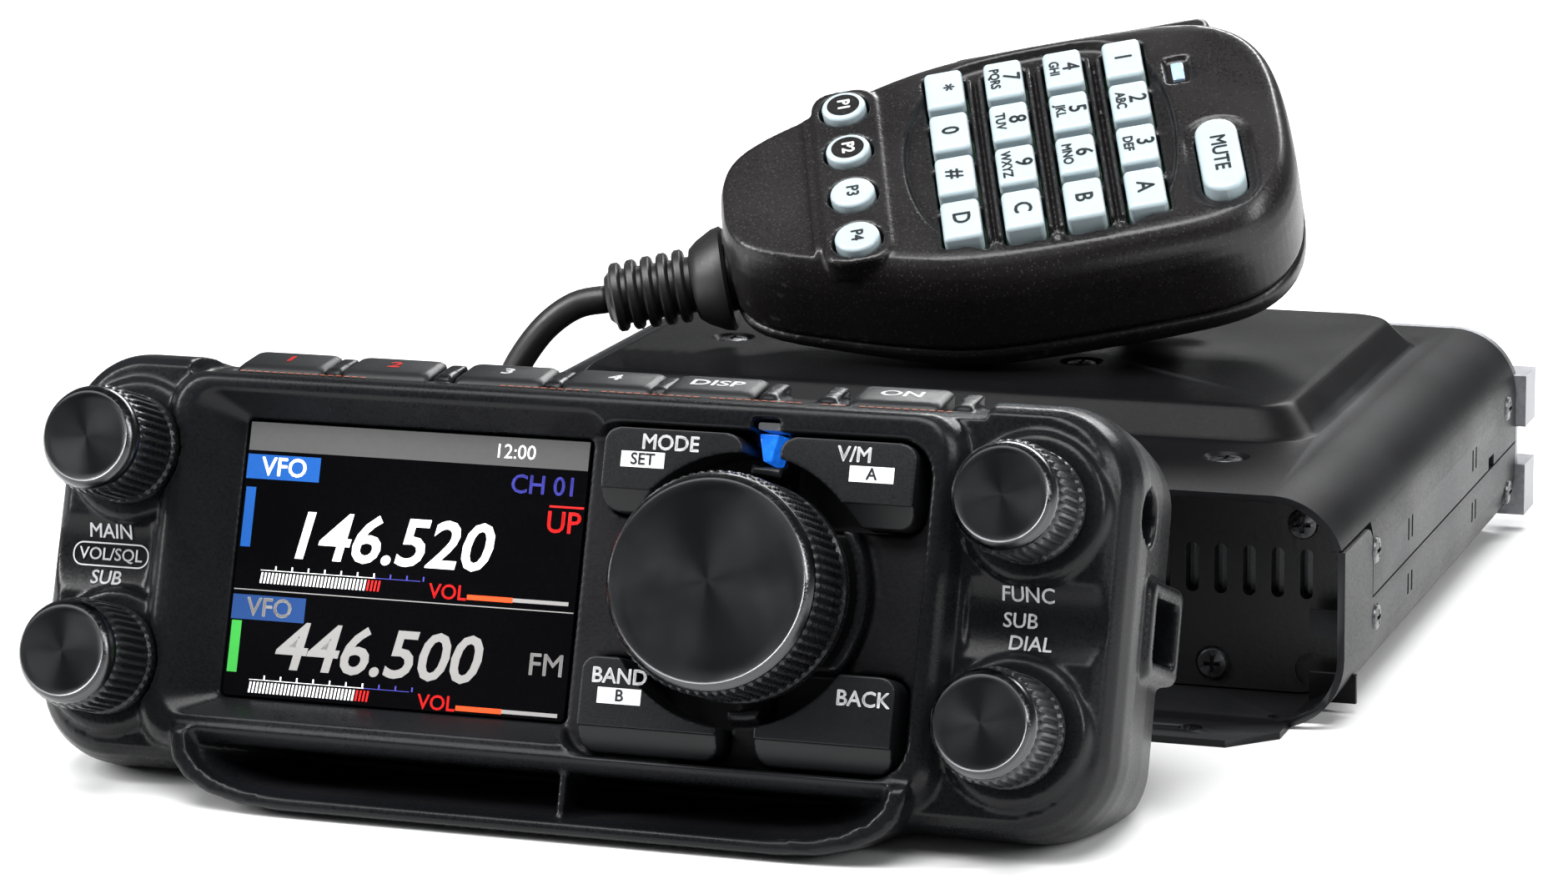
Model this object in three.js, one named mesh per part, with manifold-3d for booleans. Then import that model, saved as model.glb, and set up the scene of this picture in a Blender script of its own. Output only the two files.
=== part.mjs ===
// Mobile amateur transceiver: a radio body, a tilting control panel on a bracket in front of it,
// and a keypad hand microphone with a curly cord lying on the body.
// Millimetres, +Z up, -Y is the front. Origin: centre of the radio body's underside.
import * as THREE from "three";
import { mergeVertices } from "three/addons/utils/BufferGeometryUtils.js";
import Module from "manifold-3d";

const wasm = await Module();
wasm.setup();

// ---- Driving dimensions -------------------------------------------------------------------
const GAP = 0.3; // clearance between neighbouring pieces

// Radio body
const BODY_W = 139;
const BODY_H = 32;
const BODY_FRONT = -60;
const BODY_REAR = 58;
const EDGE_R = 10; // rounding of the covers' long edges
const SHEET = 1; // cover sheet thickness
const SEAM_Z = 14.5; // parting line between the covers
const WING_Z = 24.8; // top of the lower cover's side wings at the front
const WING_D = 17;
const BULGE_Z = 36.3; // top of the raised speaker dome
const FRONT_WALL_Y = -46; // face of the chassis wall in the front recess
const HEATSINK_Y = 40;
const HEATSINK_END = 60;
const TONGUE_D = 11;
const JACK_X = -52;
const JACK_Z = 12.8;
const FAN_SIZE = 25;
const FAN_Z = 16;
const ANTENNA_X = -46;
const ANTENNA_R = 7.94; // 5/8 inch socket thread
const SPEAKER_X = -2;
const SPEAKER_Y = 12;
const SPEAKER_R = 18;

// Control panel: local u to the right, v up the screen, n out of the screen
const PANEL_AT = [-17.93, -121.02, 29.06];
const PANEL_TILT = 19.59; // degrees that the screen leans back
const PANEL_HALF_W = 73.5;
const PANEL_TOP = 27.5;
const PANEL_BOTTOM = -27;
const PANEL_SEAM_N = -26;
const FRAME_N = 4; // raised frame around screen and buttons
const KNOB_U = 61.1;
const KNOB_V = 13.8;
const KNOB_FACE_N = 15;
const KNOB_R = 7.2;
const DIAL_U = 25.2;
const DIAL_V = 0.8;
const DIAL_R = 14;
const DIAL_FACE_N = 16;
const TILT_Y = -88; // tilt axis of the panel on its bracket
const TILT_Z = 12;
const EAR_X = 22.5; // half distance between the bracket's ears, inside
const TABLE_Z = 0.6; // lowest point of the panel

// Hand microphone: local x toward its top end, y toward the talk bar, z out of its face
const MIC_AT = [9.77, 3.06, 67.61];
const MIC_YAW = 16.97;
const MIC_PITCH = -9.49;
const MIC_ROLL = 29.21;
const KEY_PITCH_X = 8.93;
const KEY_PITCH_Y = 10.27;
const KEY_SIZE = [5.7, 8.7];
const P_KEY_X = -28.6;
const MIC_SEAM = -15;
const MIC_BACK = -27;
const BOOT_START = -49.4;
const BOOT_END = -68;

// Microphone cord
const CORD_R = 2.1;
const CURL_R = 8.6; // outer radius of the curled part
const CURL_X = -84;
const CURL_Z = 8.9;
const CURL_START = 39.1;
const CURL_END = -78;

// ---- Materials ----------------------------------------------------------------------------
const paint = (color, roughness, metalness = 0) => ({ color, roughness, metalness });
const SATIN_BLACK = paint(0x101012, 0.42, 0.3);
const PANEL_BLACK = paint(0x1b1d20, 0.55);
const RUBBER = paint(0x24272a, 0.7);
const ANODISED = paint(0x1a1c1f, 0.28, 0.9);
const SCREEN = paint(0x050608, 0.08);
const CIRCUIT = paint(0x14532b, 0.5);
const ALUMINIUM = paint(0xb4b8bb, 0.4, 0.9);
const MIC_BLACK = paint(0x1c1819, 0.5);
const KEY_WHITE = paint(0xc8d8e0, 0.4);
const CORD_BLACK = paint(0x141414, 0.6);
const NICKEL = paint(0xc0c0b8, 0.3, 1);
const BLUE_LIGHT = paint(0x1f7bff, 0.2);
const DARK_PLASTIC = paint(0x0c0c0d, 0.5);

// ---- Geometry helpers ---------------------------------------------------------------------
const deg = THREE.MathUtils.degToRad;

// A three.js geometry as a closed solid whose faces point outwards.
function solid(geometry) {
  const g = geometry.index ? geometry.toNonIndexed() : geometry.clone();
  g.deleteAttribute("normal");
  g.deleteAttribute("uv");
  const merged = mergeVertices(g, 1e-4);
  const triVerts = new Uint32Array(merged.index.array);
  const build = () =>
    new wasm.Manifold(
      new wasm.Mesh({
        numProp: 3,
        vertProperties: merged.attributes.position.array,
        triVerts,
      }),
    );
  const made = build();
  if (made.volume() > 0) return made;
  for (let i = 0; i < triVerts.length; i += 3)
    [triVerts[i], triVerts[i + 1]] = [triVerts[i + 1], triVerts[i]];
  return build();
}

const union = (...solids) => solids.reduce((a, b) => a.add(b));
const cut = (body, ...tools) => tools.reduce((a, b) => a.subtract(b), body);

function geometryOf(made) {
  const mesh = made.getMesh();
  const g = new THREE.BufferGeometry();
  const position = new Float32Array(mesh.numVert * 3);
  for (let i = 0; i < mesh.numVert; i++)
    for (let k = 0; k < 3; k++) position[i * 3 + k] = mesh.vertProperties[i * mesh.numProp + k];
  g.setAttribute("position", new THREE.BufferAttribute(position, 3));
  g.setIndex(new THREE.BufferAttribute(mesh.triVerts, 1));
  g.computeVertexNormals();
  return g;
}

// Outlines are lists of [x, y], counter-clockwise.
function roundRect(x0, x1, y0, y1, r, steps = 3) {
  const corners = [
    [x1 - r, y0 + r, -90],
    [x1 - r, y1 - r, 0],
    [x0 + r, y1 - r, 90],
    [x0 + r, y0 + r, 180],
  ];
  const points = [];
  for (const [cx, cy, start] of corners)
    for (let i = 0; i <= steps; i++) {
      const a = deg(start + (90 * i) / steps);
      points.push([cx + r * Math.cos(a), cy + r * Math.sin(a)]);
    }
  return points;
}

function circle(cx, cy, r, sides) {
  const points = [];
  for (let i = 0; i < sides; i++) {
    const a = (2 * Math.PI * (i + 0.5)) / sides;
    points.push([cx + r * Math.cos(a), cy + r * Math.sin(a)]);
  }
  return points;
}

// A closed body through outlines of the same number of points, each [outline, z] or [points3d].
function stack(...levels) {
  const rings = levels.map(([outline, z]) => outline.map(([x, y, own]) => [x, y, own ?? z]));
  const count = rings[0].length;
  const position = rings.flat(2);
  const index = [];
  for (let k = 0; k + 1 < rings.length; k++)
    for (let i = 0; i < count; i++) {
      const j = (i + 1) % count;
      const a = k * count + i;
      const b = k * count + j;
      index.push(a, b, b + count, a, b + count, a + count);
    }
  const cap = (ring, base, up) => {
    const flat = ring.map(([x, y]) => new THREE.Vector2(x, y));
    for (const [a, b, c] of THREE.ShapeUtils.triangulateShape(flat, [])) {
      const [p, q, r] = [flat[a], flat[b], flat[c]];
      const area = (q.x - p.x) * (r.y - p.y) - (r.x - p.x) * (q.y - p.y);
      if (area > 0 === up) index.push(base + a, base + b, base + c);
      else index.push(base + a, base + c, base + b);
    }
  };
  cap(rings[0], 0, false);
  cap(rings.at(-1), (rings.length - 1) * count, true);
  const g = new THREE.BufferGeometry();
  g.setAttribute("position", new THREE.Float32BufferAttribute(position, 3));
  g.setIndex(index);
  return g;
}

const prism = (outline, z0, z1) => solid(stack([outline, z0], [outline, z1]));

function block(x0, x1, y0, y1, z0, z1) {
  const g = new THREE.BoxGeometry(x1 - x0, y1 - y0, z1 - z0);
  g.translate((x0 + x1) / 2, (y0 + y1) / 2, (z0 + z1) / 2);
  return solid(g);
}

// A round rod along z.
function rod(cx, cy, r, z0, z1, sides = 16) {
  return prism(circle(cx, cy, r, sides), z0, z1);
}

// A turned body about the z axis at (cx, cy): profile of [radius, z] from the axis to the axis.
function turned(profile, sides, cx = 0, cy = 0) {
  const points = profile.map(([r, z]) => new THREE.Vector2(r, z));
  const g = new THREE.LatheGeometry(points, sides);
  g.rotateX(Math.PI / 2);
  g.translate(cx, cy, 0);
  return solid(g);
}

// A section in x and z, carried along y from y0 to y1.
function alongY(outline, y0, y1) {
  const g = stack([outline, -y1], [outline, -y0]);
  g.rotateX(Math.PI / 2);
  return solid(g);
}

// A section in y and z, carried along x from x0 to x1.
function alongX(outline, x0, x1) {
  const g = stack([outline, x0], [outline, x1]);
  g.applyMatrix4(new THREE.Matrix4().makeBasis(
    new THREE.Vector3(0, 1, 0),
    new THREE.Vector3(0, 0, 1),
    new THREE.Vector3(1, 0, 0),
  ));
  return solid(g);
}

function tube(points, r, steps, sides = 8) {
  const path = new THREE.CatmullRomCurve3(points.map((p) => new THREE.Vector3(...p)));
  const shape = new THREE.Shape(circle(0, 0, r, sides).map(([x, y]) => new THREE.Vector2(x, y)));
  return solid(new THREE.ExtrudeGeometry(shape, { extrudePath: path, steps, bevelEnabled: false }));
}

// ---- Scene groups -------------------------------------------------------------------------
const radio = new THREE.Group();
const panel = new THREE.Group();
panel.position.set(...PANEL_AT);
panel.rotation.x = deg(90 - PANEL_TILT);
const mic = new THREE.Group();
mic.position.set(...MIC_AT);
mic.rotation.set(deg(MIC_ROLL), deg(MIC_PITCH), deg(MIC_YAW), "ZYX");
radio.add(panel, mic);
radio.updateMatrixWorld(true);

function add(group, name, made, look) {
  const mesh = new THREE.Mesh(geometryOf(made), new THREE.MeshStandardMaterial(look));
  mesh.name = name;
  group.add(mesh);
  return mesh;
}

// ---- Radio body ---------------------------------------------------------------------------
const HALF = BODY_W / 2;

// The body's section, inset by d: rounded top and bottom edges.
const bodySection = (d, z0 = 0, z1 = BODY_H) =>
  roundRect(-HALF + d, HALF - d, z0 + d, z1 - d, EDGE_R - d, 4);

const bulge = (d) =>
  solid(
    stack(
      [roundRect(-57 + d, 57 - d, -29 + d, 49 - d, 8, 2), BODY_H - 4],
      [roundRect(-57 + d, 57 - d, -29 + d, 49 - d, 8, 2), BODY_H - d],
      [roundRect(-52.5 + d, 52.5 - d, -24.5 + d, 45 - d, 6, 2), BULGE_Z - d],
    ),
  );

function topCover() {
  const outer = union(alongY(bodySection(0), BODY_FRONT, BODY_REAR), bulge(0));
  const inner = union(alongY(bodySection(SHEET), BODY_FRONT - 1, BODY_REAR + 1), bulge(SHEET));
  const lower = block(-80, 80, BODY_FRONT - 1, BODY_REAR + 1, -1, SEAM_Z + GAP);
  const wings = [-1, 1].map((side) =>
    block(
      Math.min(side * 60, side * 75),
      Math.max(side * 60, side * 75),
      BODY_FRONT - 1,
      BODY_FRONT + WING_D + GAP,
      SEAM_Z - 1,
      WING_Z + GAP,
    ),
  );
  return cut(outer, inner, lower, ...wings);
}

function bottomCover() {
  const shell = cut(
    alongY(bodySection(0), BODY_FRONT, BODY_REAR),
    alongY(bodySection(SHEET), BODY_FRONT - 1, BODY_REAR + 1),
    block(-80, 80, BODY_FRONT - 1, BODY_REAR + 1, SEAM_Z, BODY_H + 1),
  );
  const wings = [-1, 1].map((side) =>
    alongX(
      [
        [BODY_FRONT, SEAM_Z - 2],
        [BODY_FRONT + WING_D, SEAM_Z - 2],
        [BODY_FRONT + WING_D, WING_Z - 3],
        [BODY_FRONT + WING_D - 3, WING_Z],
        [BODY_FRONT, WING_Z],
      ],
      side > 0 ? HALF - SHEET : -HALF,
      side > 0 ? HALF : -HALF + SHEET,
    ),
  );
  const tongue = prism(
    [
      [-62, BODY_FRONT + 2],
      [-62, BODY_FRONT - TONGUE_D + 6],
      [-56, BODY_FRONT - TONGUE_D],
      [56, BODY_FRONT - TONGUE_D],
      [62, BODY_FRONT - TONGUE_D + 6],
      [62, BODY_FRONT + 2],
    ],
    0,
    SHEET,
  );
  return union(shell, ...wings, cut(tongue, rod(-50, -66, 1.6, -1, 2, 8), rod(50, -66, 1.6, -1, 2, 8)));
}

function chassis() {
  const inset = SHEET + GAP;
  const core = alongY(bodySection(inset), FRONT_WALL_Y, HEATSINK_END);
  const flange = alongY(bodySection(0), BODY_REAR + GAP, HEATSINK_END);
  const tabs = [];
  for (const side of [-1, 1])
    for (const z of [3, 17])
      tabs.push(
        block(
          side > 0 ? 66 : -71,
          side > 0 ? 71 : -66,
          BODY_REAR + GAP,
          HEATSINK_END + 6,
          z,
          z + 8,
        ),
      );
  const tray = block(-65.5, 65.5, FRONT_WALL_Y + 2.5, HEATSINK_Y, 5, BODY_H);
  const openings = [
    block(JACK_X - 7.8, JACK_X + 26.2, FRONT_WALL_Y - 1, FRONT_WALL_Y + 3, 6, 19.3),
    block(-FAN_SIZE / 2 - GAP, FAN_SIZE / 2 + GAP, HEATSINK_Y - 1, HEATSINK_END + 1,
      FAN_Z - FAN_SIZE / 2 - GAP, FAN_Z + FAN_SIZE / 2 + GAP),
    block(35.7, 52.3, HEATSINK_Y - 1, HEATSINK_END + 1, 6.7, 20.3),
    alongY(circle(ANTENNA_X, 16, 8.3, 12), HEATSINK_Y - 1, HEATSINK_END + 1),
  ];
  for (let x = 29; x <= 61; x += 4)
    openings.push(block(x - 0.9, x + 0.9, FRONT_WALL_Y - 1, FRONT_WALL_Y + 3, 14.5, 21.5));
  const fins = [-31, -27, -23, -19, 19, 23, 27, 31, 57, 61].map((x) =>
    block(x - 1.1, x + 1.1, HEATSINK_END - 10, HEATSINK_END + 1, 4, 28),
  );
  return cut(union(core, flange, ...tabs), tray, ...openings, ...fins);
}

// The main circuit board with its soldered sockets and shield can.
function mainBoard() {
  const sockets = [JACK_X, JACK_X + 18].map((x) =>
    cut(
      block(x - 7.4, x + 7.4, FRONT_WALL_Y + 0.2, FRONT_WALL_Y + 14, 8, 18.8),
      block(x - 6.1, x + 6.1, FRONT_WALL_Y - 1, FRONT_WALL_Y + 10, JACK_Z - 4.3, JACK_Z + 4.3),
    ),
  );
  const power = cut(
    block(36, 52, HEATSINK_Y - 8, HEATSINK_END + 1.5, 7, 20),
    block(38, 50, HEATSINK_END - 12, HEATSINK_END + 2, 9, 18),
  );
  return union(
    block(-63, 63, FRONT_WALL_Y + 4, HEATSINK_Y - 1.5, 7, 8.6),
    block(-10, 40, -32, 10, 8, 14),
    block(-55, -20, 5, 32, 8, 13),
    power,
    ...sockets,
  );
}

function fanFrame() {
  const s = FAN_SIZE / 2;
  const body = block(-s, s, HEATSINK_END - 10, HEATSINK_END - 0.2, FAN_Z - s, FAN_Z + s);
  const bore = alongY(circle(0, FAN_Z, 11.7, 16), HEATSINK_END - 8.4, HEATSINK_END + 1);
  const back = cut(
    alongY(circle(0, FAN_Z, 11.7, 16), HEATSINK_END - 11, HEATSINK_END - 7),
    alongY(circle(0, FAN_Z, 6, 12), HEATSINK_END - 12, HEATSINK_END - 6),
    block(-1.2, 1.2, HEATSINK_END - 12, HEATSINK_END - 6, FAN_Z - 12, FAN_Z + 12),
    block(-12, 12, HEATSINK_END - 12, HEATSINK_END - 6, FAN_Z - 1.2, FAN_Z + 1.2),
  );
  return cut(body, bore, back);
}

function fanRotor() {
  const hub = turned([[0, -5.4], [5.4, -5.4], [5.4, -0.6], [0, -0.6]], 14);
  const blades = [];
  for (let i = 0; i < 7; i++) {
    const g = new THREE.BoxGeometry(6.4, 0.7, 4.6);
    g.rotateX(deg(38));
    g.translate(7.9, 0, -3);
    g.rotateZ((2 * Math.PI * i) / 7);
    blades.push(solid(g));
  }
  const g = geometryOf(union(hub, ...blades));
  g.rotateX(Math.PI / 2);
  g.translate(0, HEATSINK_END - 6.5, FAN_Z);
  return solid(g);
}

function antennaConnector() {
  const barrel = turned(
    [[0, -14], [7.6, -14], [7.6, 0.3], [11.5, 0.3], [11.5, 2.3], [ANTENNA_R, 2.3], [ANTENNA_R, 18],
      [6.2, 18], [6.2, 8], [2, 8], [2, 15], [0, 15]],
    14,
  );
  const g = geometryOf(barrel);
  g.rotateX(-Math.PI / 2);
  g.translate(ANTENNA_X, HEATSINK_END, 16);
  return solid(g);
}

function bodySpeaker() {
  return turned(
    [[0, 17], [9, 17], [9, 24], [SPEAKER_R - 3, 29], [SPEAKER_R, 29], [SPEAKER_R, 30.6],
      [SPEAKER_R - 3, 30.6], [6, 26.5], [0, 26.5]],
    16,
    SPEAKER_X,
    SPEAKER_Y,
  );
}

add(radio, "chassis", chassis(), ALUMINIUM);
add(radio, "top_cover", topCover(), SATIN_BLACK);
add(radio, "bottom_cover", bottomCover(), SATIN_BLACK);
add(radio, "main_board", mainBoard(), CIRCUIT);
add(radio, "fan_frame", fanFrame(), DARK_PLASTIC);
add(radio, "fan_rotor", fanRotor(), DARK_PLASTIC);
add(radio, "antenna_connector", antennaConnector(), NICKEL);
add(radio, "body_speaker", bodySpeaker(), DARK_PLASTIC);

// ---- Tilt bracket -------------------------------------------------------------------------
// A plate screwed onto the body's tongue, with two upright ears that carry the panel's pins.
function tiltBracket() {
  const x0 = PANEL_AT[0] - EAR_X - 1.5;
  const x1 = PANEL_AT[0] + EAR_X + 1.5;
  const base = cut(
    block(x0, x1, -83, BODY_FRONT - 1, SHEET + GAP, SHEET + GAP + 1.5),
    rod(x0 + 10, -66, 1.7, 0, 4, 8),
    rod(x1 - 10, -66, 1.7, 0, 4, 8),
  );
  const outline = [];
  for (let a = 20; a <= 240; a += 20)
    outline.push([TILT_Y + 5 * Math.cos(deg(a)), TILT_Z + 5 * Math.sin(deg(a))]);
  outline.push([-86, SHEET + GAP], [-64, SHEET + GAP], [-64, 6]);
  const ears = [x0, x1 - 1.5].map((x) =>
    cut(alongX(outline, x, x + 1.5), alongX(circle(TILT_Y, TILT_Z, 2.3, 12), x - 1, x + 3)),
  );
  return union(base, ...ears);
}

add(radio, "tilt_bracket", tiltBracket(), SATIN_BLACK);

// ---- Control panel ------------------------------------------------------------------------
const panelInverse = panel.matrixWorld.clone().invert();

// Everything below the height z of the table, in the panel's own frame.
function belowTable(z) {
  const g = new THREE.BoxGeometry(400, 400, 100);
  g.translate(0, -100, z - 50);
  g.applyMatrix4(panelInverse);
  return solid(g);
}

const FACE_BUTTONS = {
  button_upper_left: [5.8, 24.2, 9.8, 20.3],
  button_upper_right: [29.2, 47, 9.8, 20.3],
  button_lower_left: [5.8, 24.2, -20.6, -8.6],
  button_lower_right: [29.2, 47, -20.6, -8.6],
};
const TOP_BUTTON_U = [-46, -31, -15, 0, 14, 39];
const TOP_BUTTON_N = [-15.5, -8.5];
const KNOBS = { upper_left: [-1, 1], lower_left: [-1, -1], upper_right: [1, 1], lower_right: [1, -1] };

// A face button grown by d on all sides: a rounded block cut back around the dial.
function faceButton([u0, u1, v0, v1], d, n0, n1) {
  const lip = n1 < 20 ? 0.8 : 0;
  const body = solid(
    stack(
      [roundRect(u0 - d, u1 + d, v0 - d, v1 + d, 2, 1), n0],
      [roundRect(u0 - d, u1 + d, v0 - d, v1 + d, 2, 1), n1 - lip - 0.01],
      [roundRect(u0 - d + lip, u1 + d - lip, v0 - d + lip, v1 + d - lip, 2 - lip, 1), n1],
    ),
  );
  return cut(body, rod(DIAL_U, DIAL_V, 17.2 - d, n0 - 1, n1 + 1, 24));
}

function panelBezel() {
  const outline = (dw, dv) =>
    roundRect(-PANEL_HALF_W + dw, PANEL_HALF_W - dw, PANEL_BOTTOM + dv, PANEL_TOP - dv, 11 - dv, 3);
  const housing = solid(
    stack(
      [outline(1.5, 0.8), PANEL_SEAM_N],
      [outline(0, 0), -9],
      [outline(1, 0.5), -3.5],
      [outline(3.5, 2.2), 0],
    ),
  );
  const cavity = cut(
    solid(
      stack(
        [outline(3.6, 2.8), PANEL_SEAM_N - 1],
        [outline(2.1, 2), -9],
        [outline(4.2, 3), -2.2],
      ),
    ),
    belowTable(TABLE_Z + 2.2),
  );
  const frame = solid(
    stack(
      [roundRect(-56.5, 52.5, -24.6, 25, 5, 2), -1.5],
      [roundRect(-55, 51, -23.6, 24.2, 5, 2), FRAME_N],
    ),
  );
  const window = solid(
    stack(
      [roundRect(-45.5, 4.5, -17.3, 19, 1, 1), 0],
      [roundRect(-52.5, 6, -20.5, 22.6, 3, 1), FRAME_N + 0.1],
    ),
  );
  const pocket = prism(roundRect(2.6, 48.8, -21.2, 20.9, 4.5, 2), 0, FRAME_N + 1);
  const screenSeat = block(-45.5, 2.5, -17.3, 19, -4, 1);
  const collars = [];
  const bores = [rod(DIAL_U, DIAL_V, 3.4, -4, 5, 10)];
  for (const [su, sv] of Object.values(KNOBS)) {
    const [u, v] = [su * KNOB_U, sv * KNOB_V];
    collars.push(turned([[0, -2], [11, -2], [10.2, 0.6], [8.6, 1.4], [0, 1.4]], 16, u, v));
    bores.push(rod(u, v, 3.2, -4, 3, 10), rod(u, v, KNOB_R + 0.8, 1.4, 8, 16));
  }
  const dialRing = cut(
    rod(DIAL_U, DIAL_V, 16.2, -0.5, 2.4, 24),
    rod(DIAL_U, DIAL_V, 14.7, -1, 3, 24),
  );
  const buttonHoles = Object.values(FACE_BUTTONS).map((b) => faceButton(b, GAP, -4, 20));
  const topHoles = TOP_BUTTON_U.map((u) =>
    block(u - 6.25 - GAP, u + 6.25 + GAP, 23, 30, TOP_BUTTON_N[0] - GAP, TOP_BUTTON_N[1] + GAP),
  );
  const saddles = [-1, 1].map((side) =>
    alongX(
      circle(0, 10.2, 11.4, 20),
      side > 0 ? 53.5 : -80,
      side > 0 ? 80 : -57.5,
    ),
  );
  const lip = solid(
    stack(
      [roundRect(-49, 49, -30, -20, 4, 2), -24],
      [roundRect(-49, 49, -30.8, -20, 4, 2), -2],
      [roundRect(-46.5, 46.5, -31.4, -23.4, 3.6, 2), FRAME_N + 1.5],
    ),
  );
  const duct = solid(
    stack(
      [roundRect(-38, 38, -24.4, -23.4, 0.3, 1), -12],
      [roundRect(-46, 46, -28.9, -23.4, 2.4, 1), FRAME_N],
      [roundRect(-47, 47, -29.4, -19, 2.6, 1), FRAME_N + 3],
    ),
  );
  const throat = block(-15, 15, -24.5, -20, -10, -3.2);
  const blade = solid(
    stack(
      [[[3.6, -27], [4.4, -27], [4.4, -22.5], [3.6, -22.5]], -9],
      [[[3.6, -29.5], [4.4, -29.5], [4.4, -22.5], [3.6, -22.5]], FRAME_N - 1],
    ),
  );
  const jackHole = alongX(circle(14.5, -10, 3.5, 10), PANEL_HALF_W - 6, PANEL_HALF_W + 2);
  const cardFrame = cut(
    solid(
      stack(
        [roundRect(-27.5, -10, -5.5, 7.5, 2, 1).map(([n, v]) => [v, n]).reverse(), PANEL_HALF_W - 2],
        [roundRect(-26.5, -11, -4.5, 6.5, 2, 1).map(([n, v]) => [v, n]).reverse(), PANEL_HALF_W + 1],
      ).applyMatrix4(new THREE.Matrix4().makeBasis(
        new THREE.Vector3(0, 1, 0),
        new THREE.Vector3(0, 0, 1),
        new THREE.Vector3(1, 0, 0),
      )),
    ),
    block(PANEL_HALF_W, PANEL_HALF_W + 3, -3, 5, -24, -13),
  );
  const guideSlot = block(24.7, 28.5, 16.7, 22.6, -4, FRAME_N + 1);
  const hollow = cut(housing, ...saddles, cavity);
  const shell = union(hollow, cut(frame, cavity), lip, cardFrame, ...collars);
  const opened = cut(shell, window, pocket, screenSeat, duct, throat, jackHole, ...bores);
  const ringed = union(opened, dialRing, blade);
  return cut(
    ringed,
    ...buttonHoles,
    ...topHoles,
    guideSlot,
    belowTable(TABLE_Z),
    block(-90, 90, -40, 40, PANEL_SEAM_N - 20, PANEL_SEAM_N),
  );
}

function panelBack() {
  const pan = cut(
    solid(
      stack(
        [roundRect(-67, 67, -23, 23.5, 8, 3), PANEL_SEAM_N - 5],
        [roundRect(-71.5, 71.5, -25.5, 26.2, 9, 3), PANEL_SEAM_N - GAP],
      ),
    ),
    prism(roundRect(-65, 65, -16, 21, 6, 2), PANEL_SEAM_N - 3.5, PANEL_SEAM_N + 1),
    belowTable(TABLE_Z),
  );
  const axis = new THREE.Vector3(PANEL_AT[0], TILT_Y, TILT_Z).applyMatrix4(panelInverse);
  const lug = [[axis.y - 4.5, PANEL_SEAM_N - 4]];
  for (let a = 180; a <= 360; a += 30)
    lug.push([axis.y + 4.5 * Math.cos(deg(a)), axis.z + 4.5 * Math.sin(deg(a))]);
  lug.push([axis.y + 4.5, PANEL_SEAM_N - 4]);
  const lugs = [-1, 1].map((side) =>
    alongX(lug, side > 0 ? EAR_X - 5.5 : -EAR_X + GAP, side > 0 ? EAR_X - GAP : -EAR_X + 5.5),
  );
  const pins = [-1, 1].map((side) =>
    alongX(
      circle(axis.y, axis.z, 2, 12),
      side > 0 ? EAR_X - 3 : -EAR_X - 2.3,
      side > 0 ? EAR_X + 2.3 : -EAR_X + 3,
    ),
  );
  return union(pan, ...lugs, ...pins);
}

function panelBoard() {
  const encoders = Object.values(KNOBS).map(([su, sv]) => {
    const [u, v] = [su * KNOB_U, sv * KNOB_V];
    return block(u - 4.5, u + 4.5, v - 4.5, v + 4.5, -8.5, -6.4);
  });
  return union(
    prism(roundRect(-67, 67, -19.5, 21, 3, 1), -9.6, -8),
    block(DIAL_U - 6, DIAL_U + 6, DIAL_V - 6, DIAL_V + 6, -8.5, -6.4),
    ...encoders,
  );
}

function knob(u, v) {
  return turned(
    [[0, -5.8], [2.8, -5.8], [2.8, 1.8], [KNOB_R - 0.4, 1.8], [KNOB_R, 2.4], [KNOB_R, 12.8],
      [KNOB_R - 0.9, KNOB_FACE_N], [0, KNOB_FACE_N]],
    16,
    u,
    v,
  );
}

add(panel, "panel_bezel", panelBezel(), PANEL_BLACK);
add(panel, "panel_back", panelBack(), PANEL_BLACK);
add(panel, "panel_board", panelBoard(), CIRCUIT);
add(panel, "display_module", block(-45.2, 2.2, -17, 18.7, -5, -0.1), SCREEN);
add(panel, "front_speaker", block(-17, 17, -19.4, -2, -21, -13), DARK_PLASTIC);
add(
  panel,
  "dial_light_guide",
  prism([[26, 17], [27.2, 17], [28.2, 22.3], [25, 22.3]], -3.2, 1.6),
  BLUE_LIGHT,
);
add(
  panel,
  "main_dial",
  turned(
    [[0, -5.8], [3, -5.8], [3, 1.6], [DIAL_R, 1.6], [DIAL_R, 4], [DIAL_R - 0.6, 14.2],
      [DIAL_R - 1.7, DIAL_FACE_N], [0, DIAL_FACE_N]],
    24,
    DIAL_U,
    DIAL_V,
  ),
  ANODISED,
);
for (const [name, [su, sv]] of Object.entries(KNOBS))
  add(panel, "knob_" + name, knob(su * KNOB_U, sv * KNOB_V), ANODISED);
for (const [name, box] of Object.entries(FACE_BUTTONS))
  add(panel, name, faceButton(box, 0, -2.8, 5), RUBBER);
TOP_BUTTON_U.forEach((u, i) => {
  const [n0, n1] = TOP_BUTTON_N;
  const g = stack(
    [roundRect(u - 6.25, u + 6.25, -n1, -n0, 1, 1), 23.4],
    [roundRect(u - 6.25, u + 6.25, -n1, -n0, 1, 1), 28.3],
    [roundRect(u - 5.6, u + 5.6, -n1 + 0.6, -n0 - 0.6, 1, 1), 28.9],
  );
  g.rotateX(-Math.PI / 2);
  add(panel, "top_button_" + (i + 1), solid(g), RUBBER);
});

// ---- Hand microphone ----------------------------------------------------------------------
// Half of the outline, from the middle of the top end round to the middle of the cord end.
const MIC_HALF = [
  [36, 0], [35.8, 9], [34.4, 16.5], [31, 22.2], [25.5, 25.8], [16, 27], [-8, 27], [-18, 25.4],
  [-28, 21.4], [-35, 18.2], [-43, 14.4], [-47.4, 10.4], [-49, 5], [-49, 0],
];
const MIC_MIDDLE = -6.5;

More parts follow.
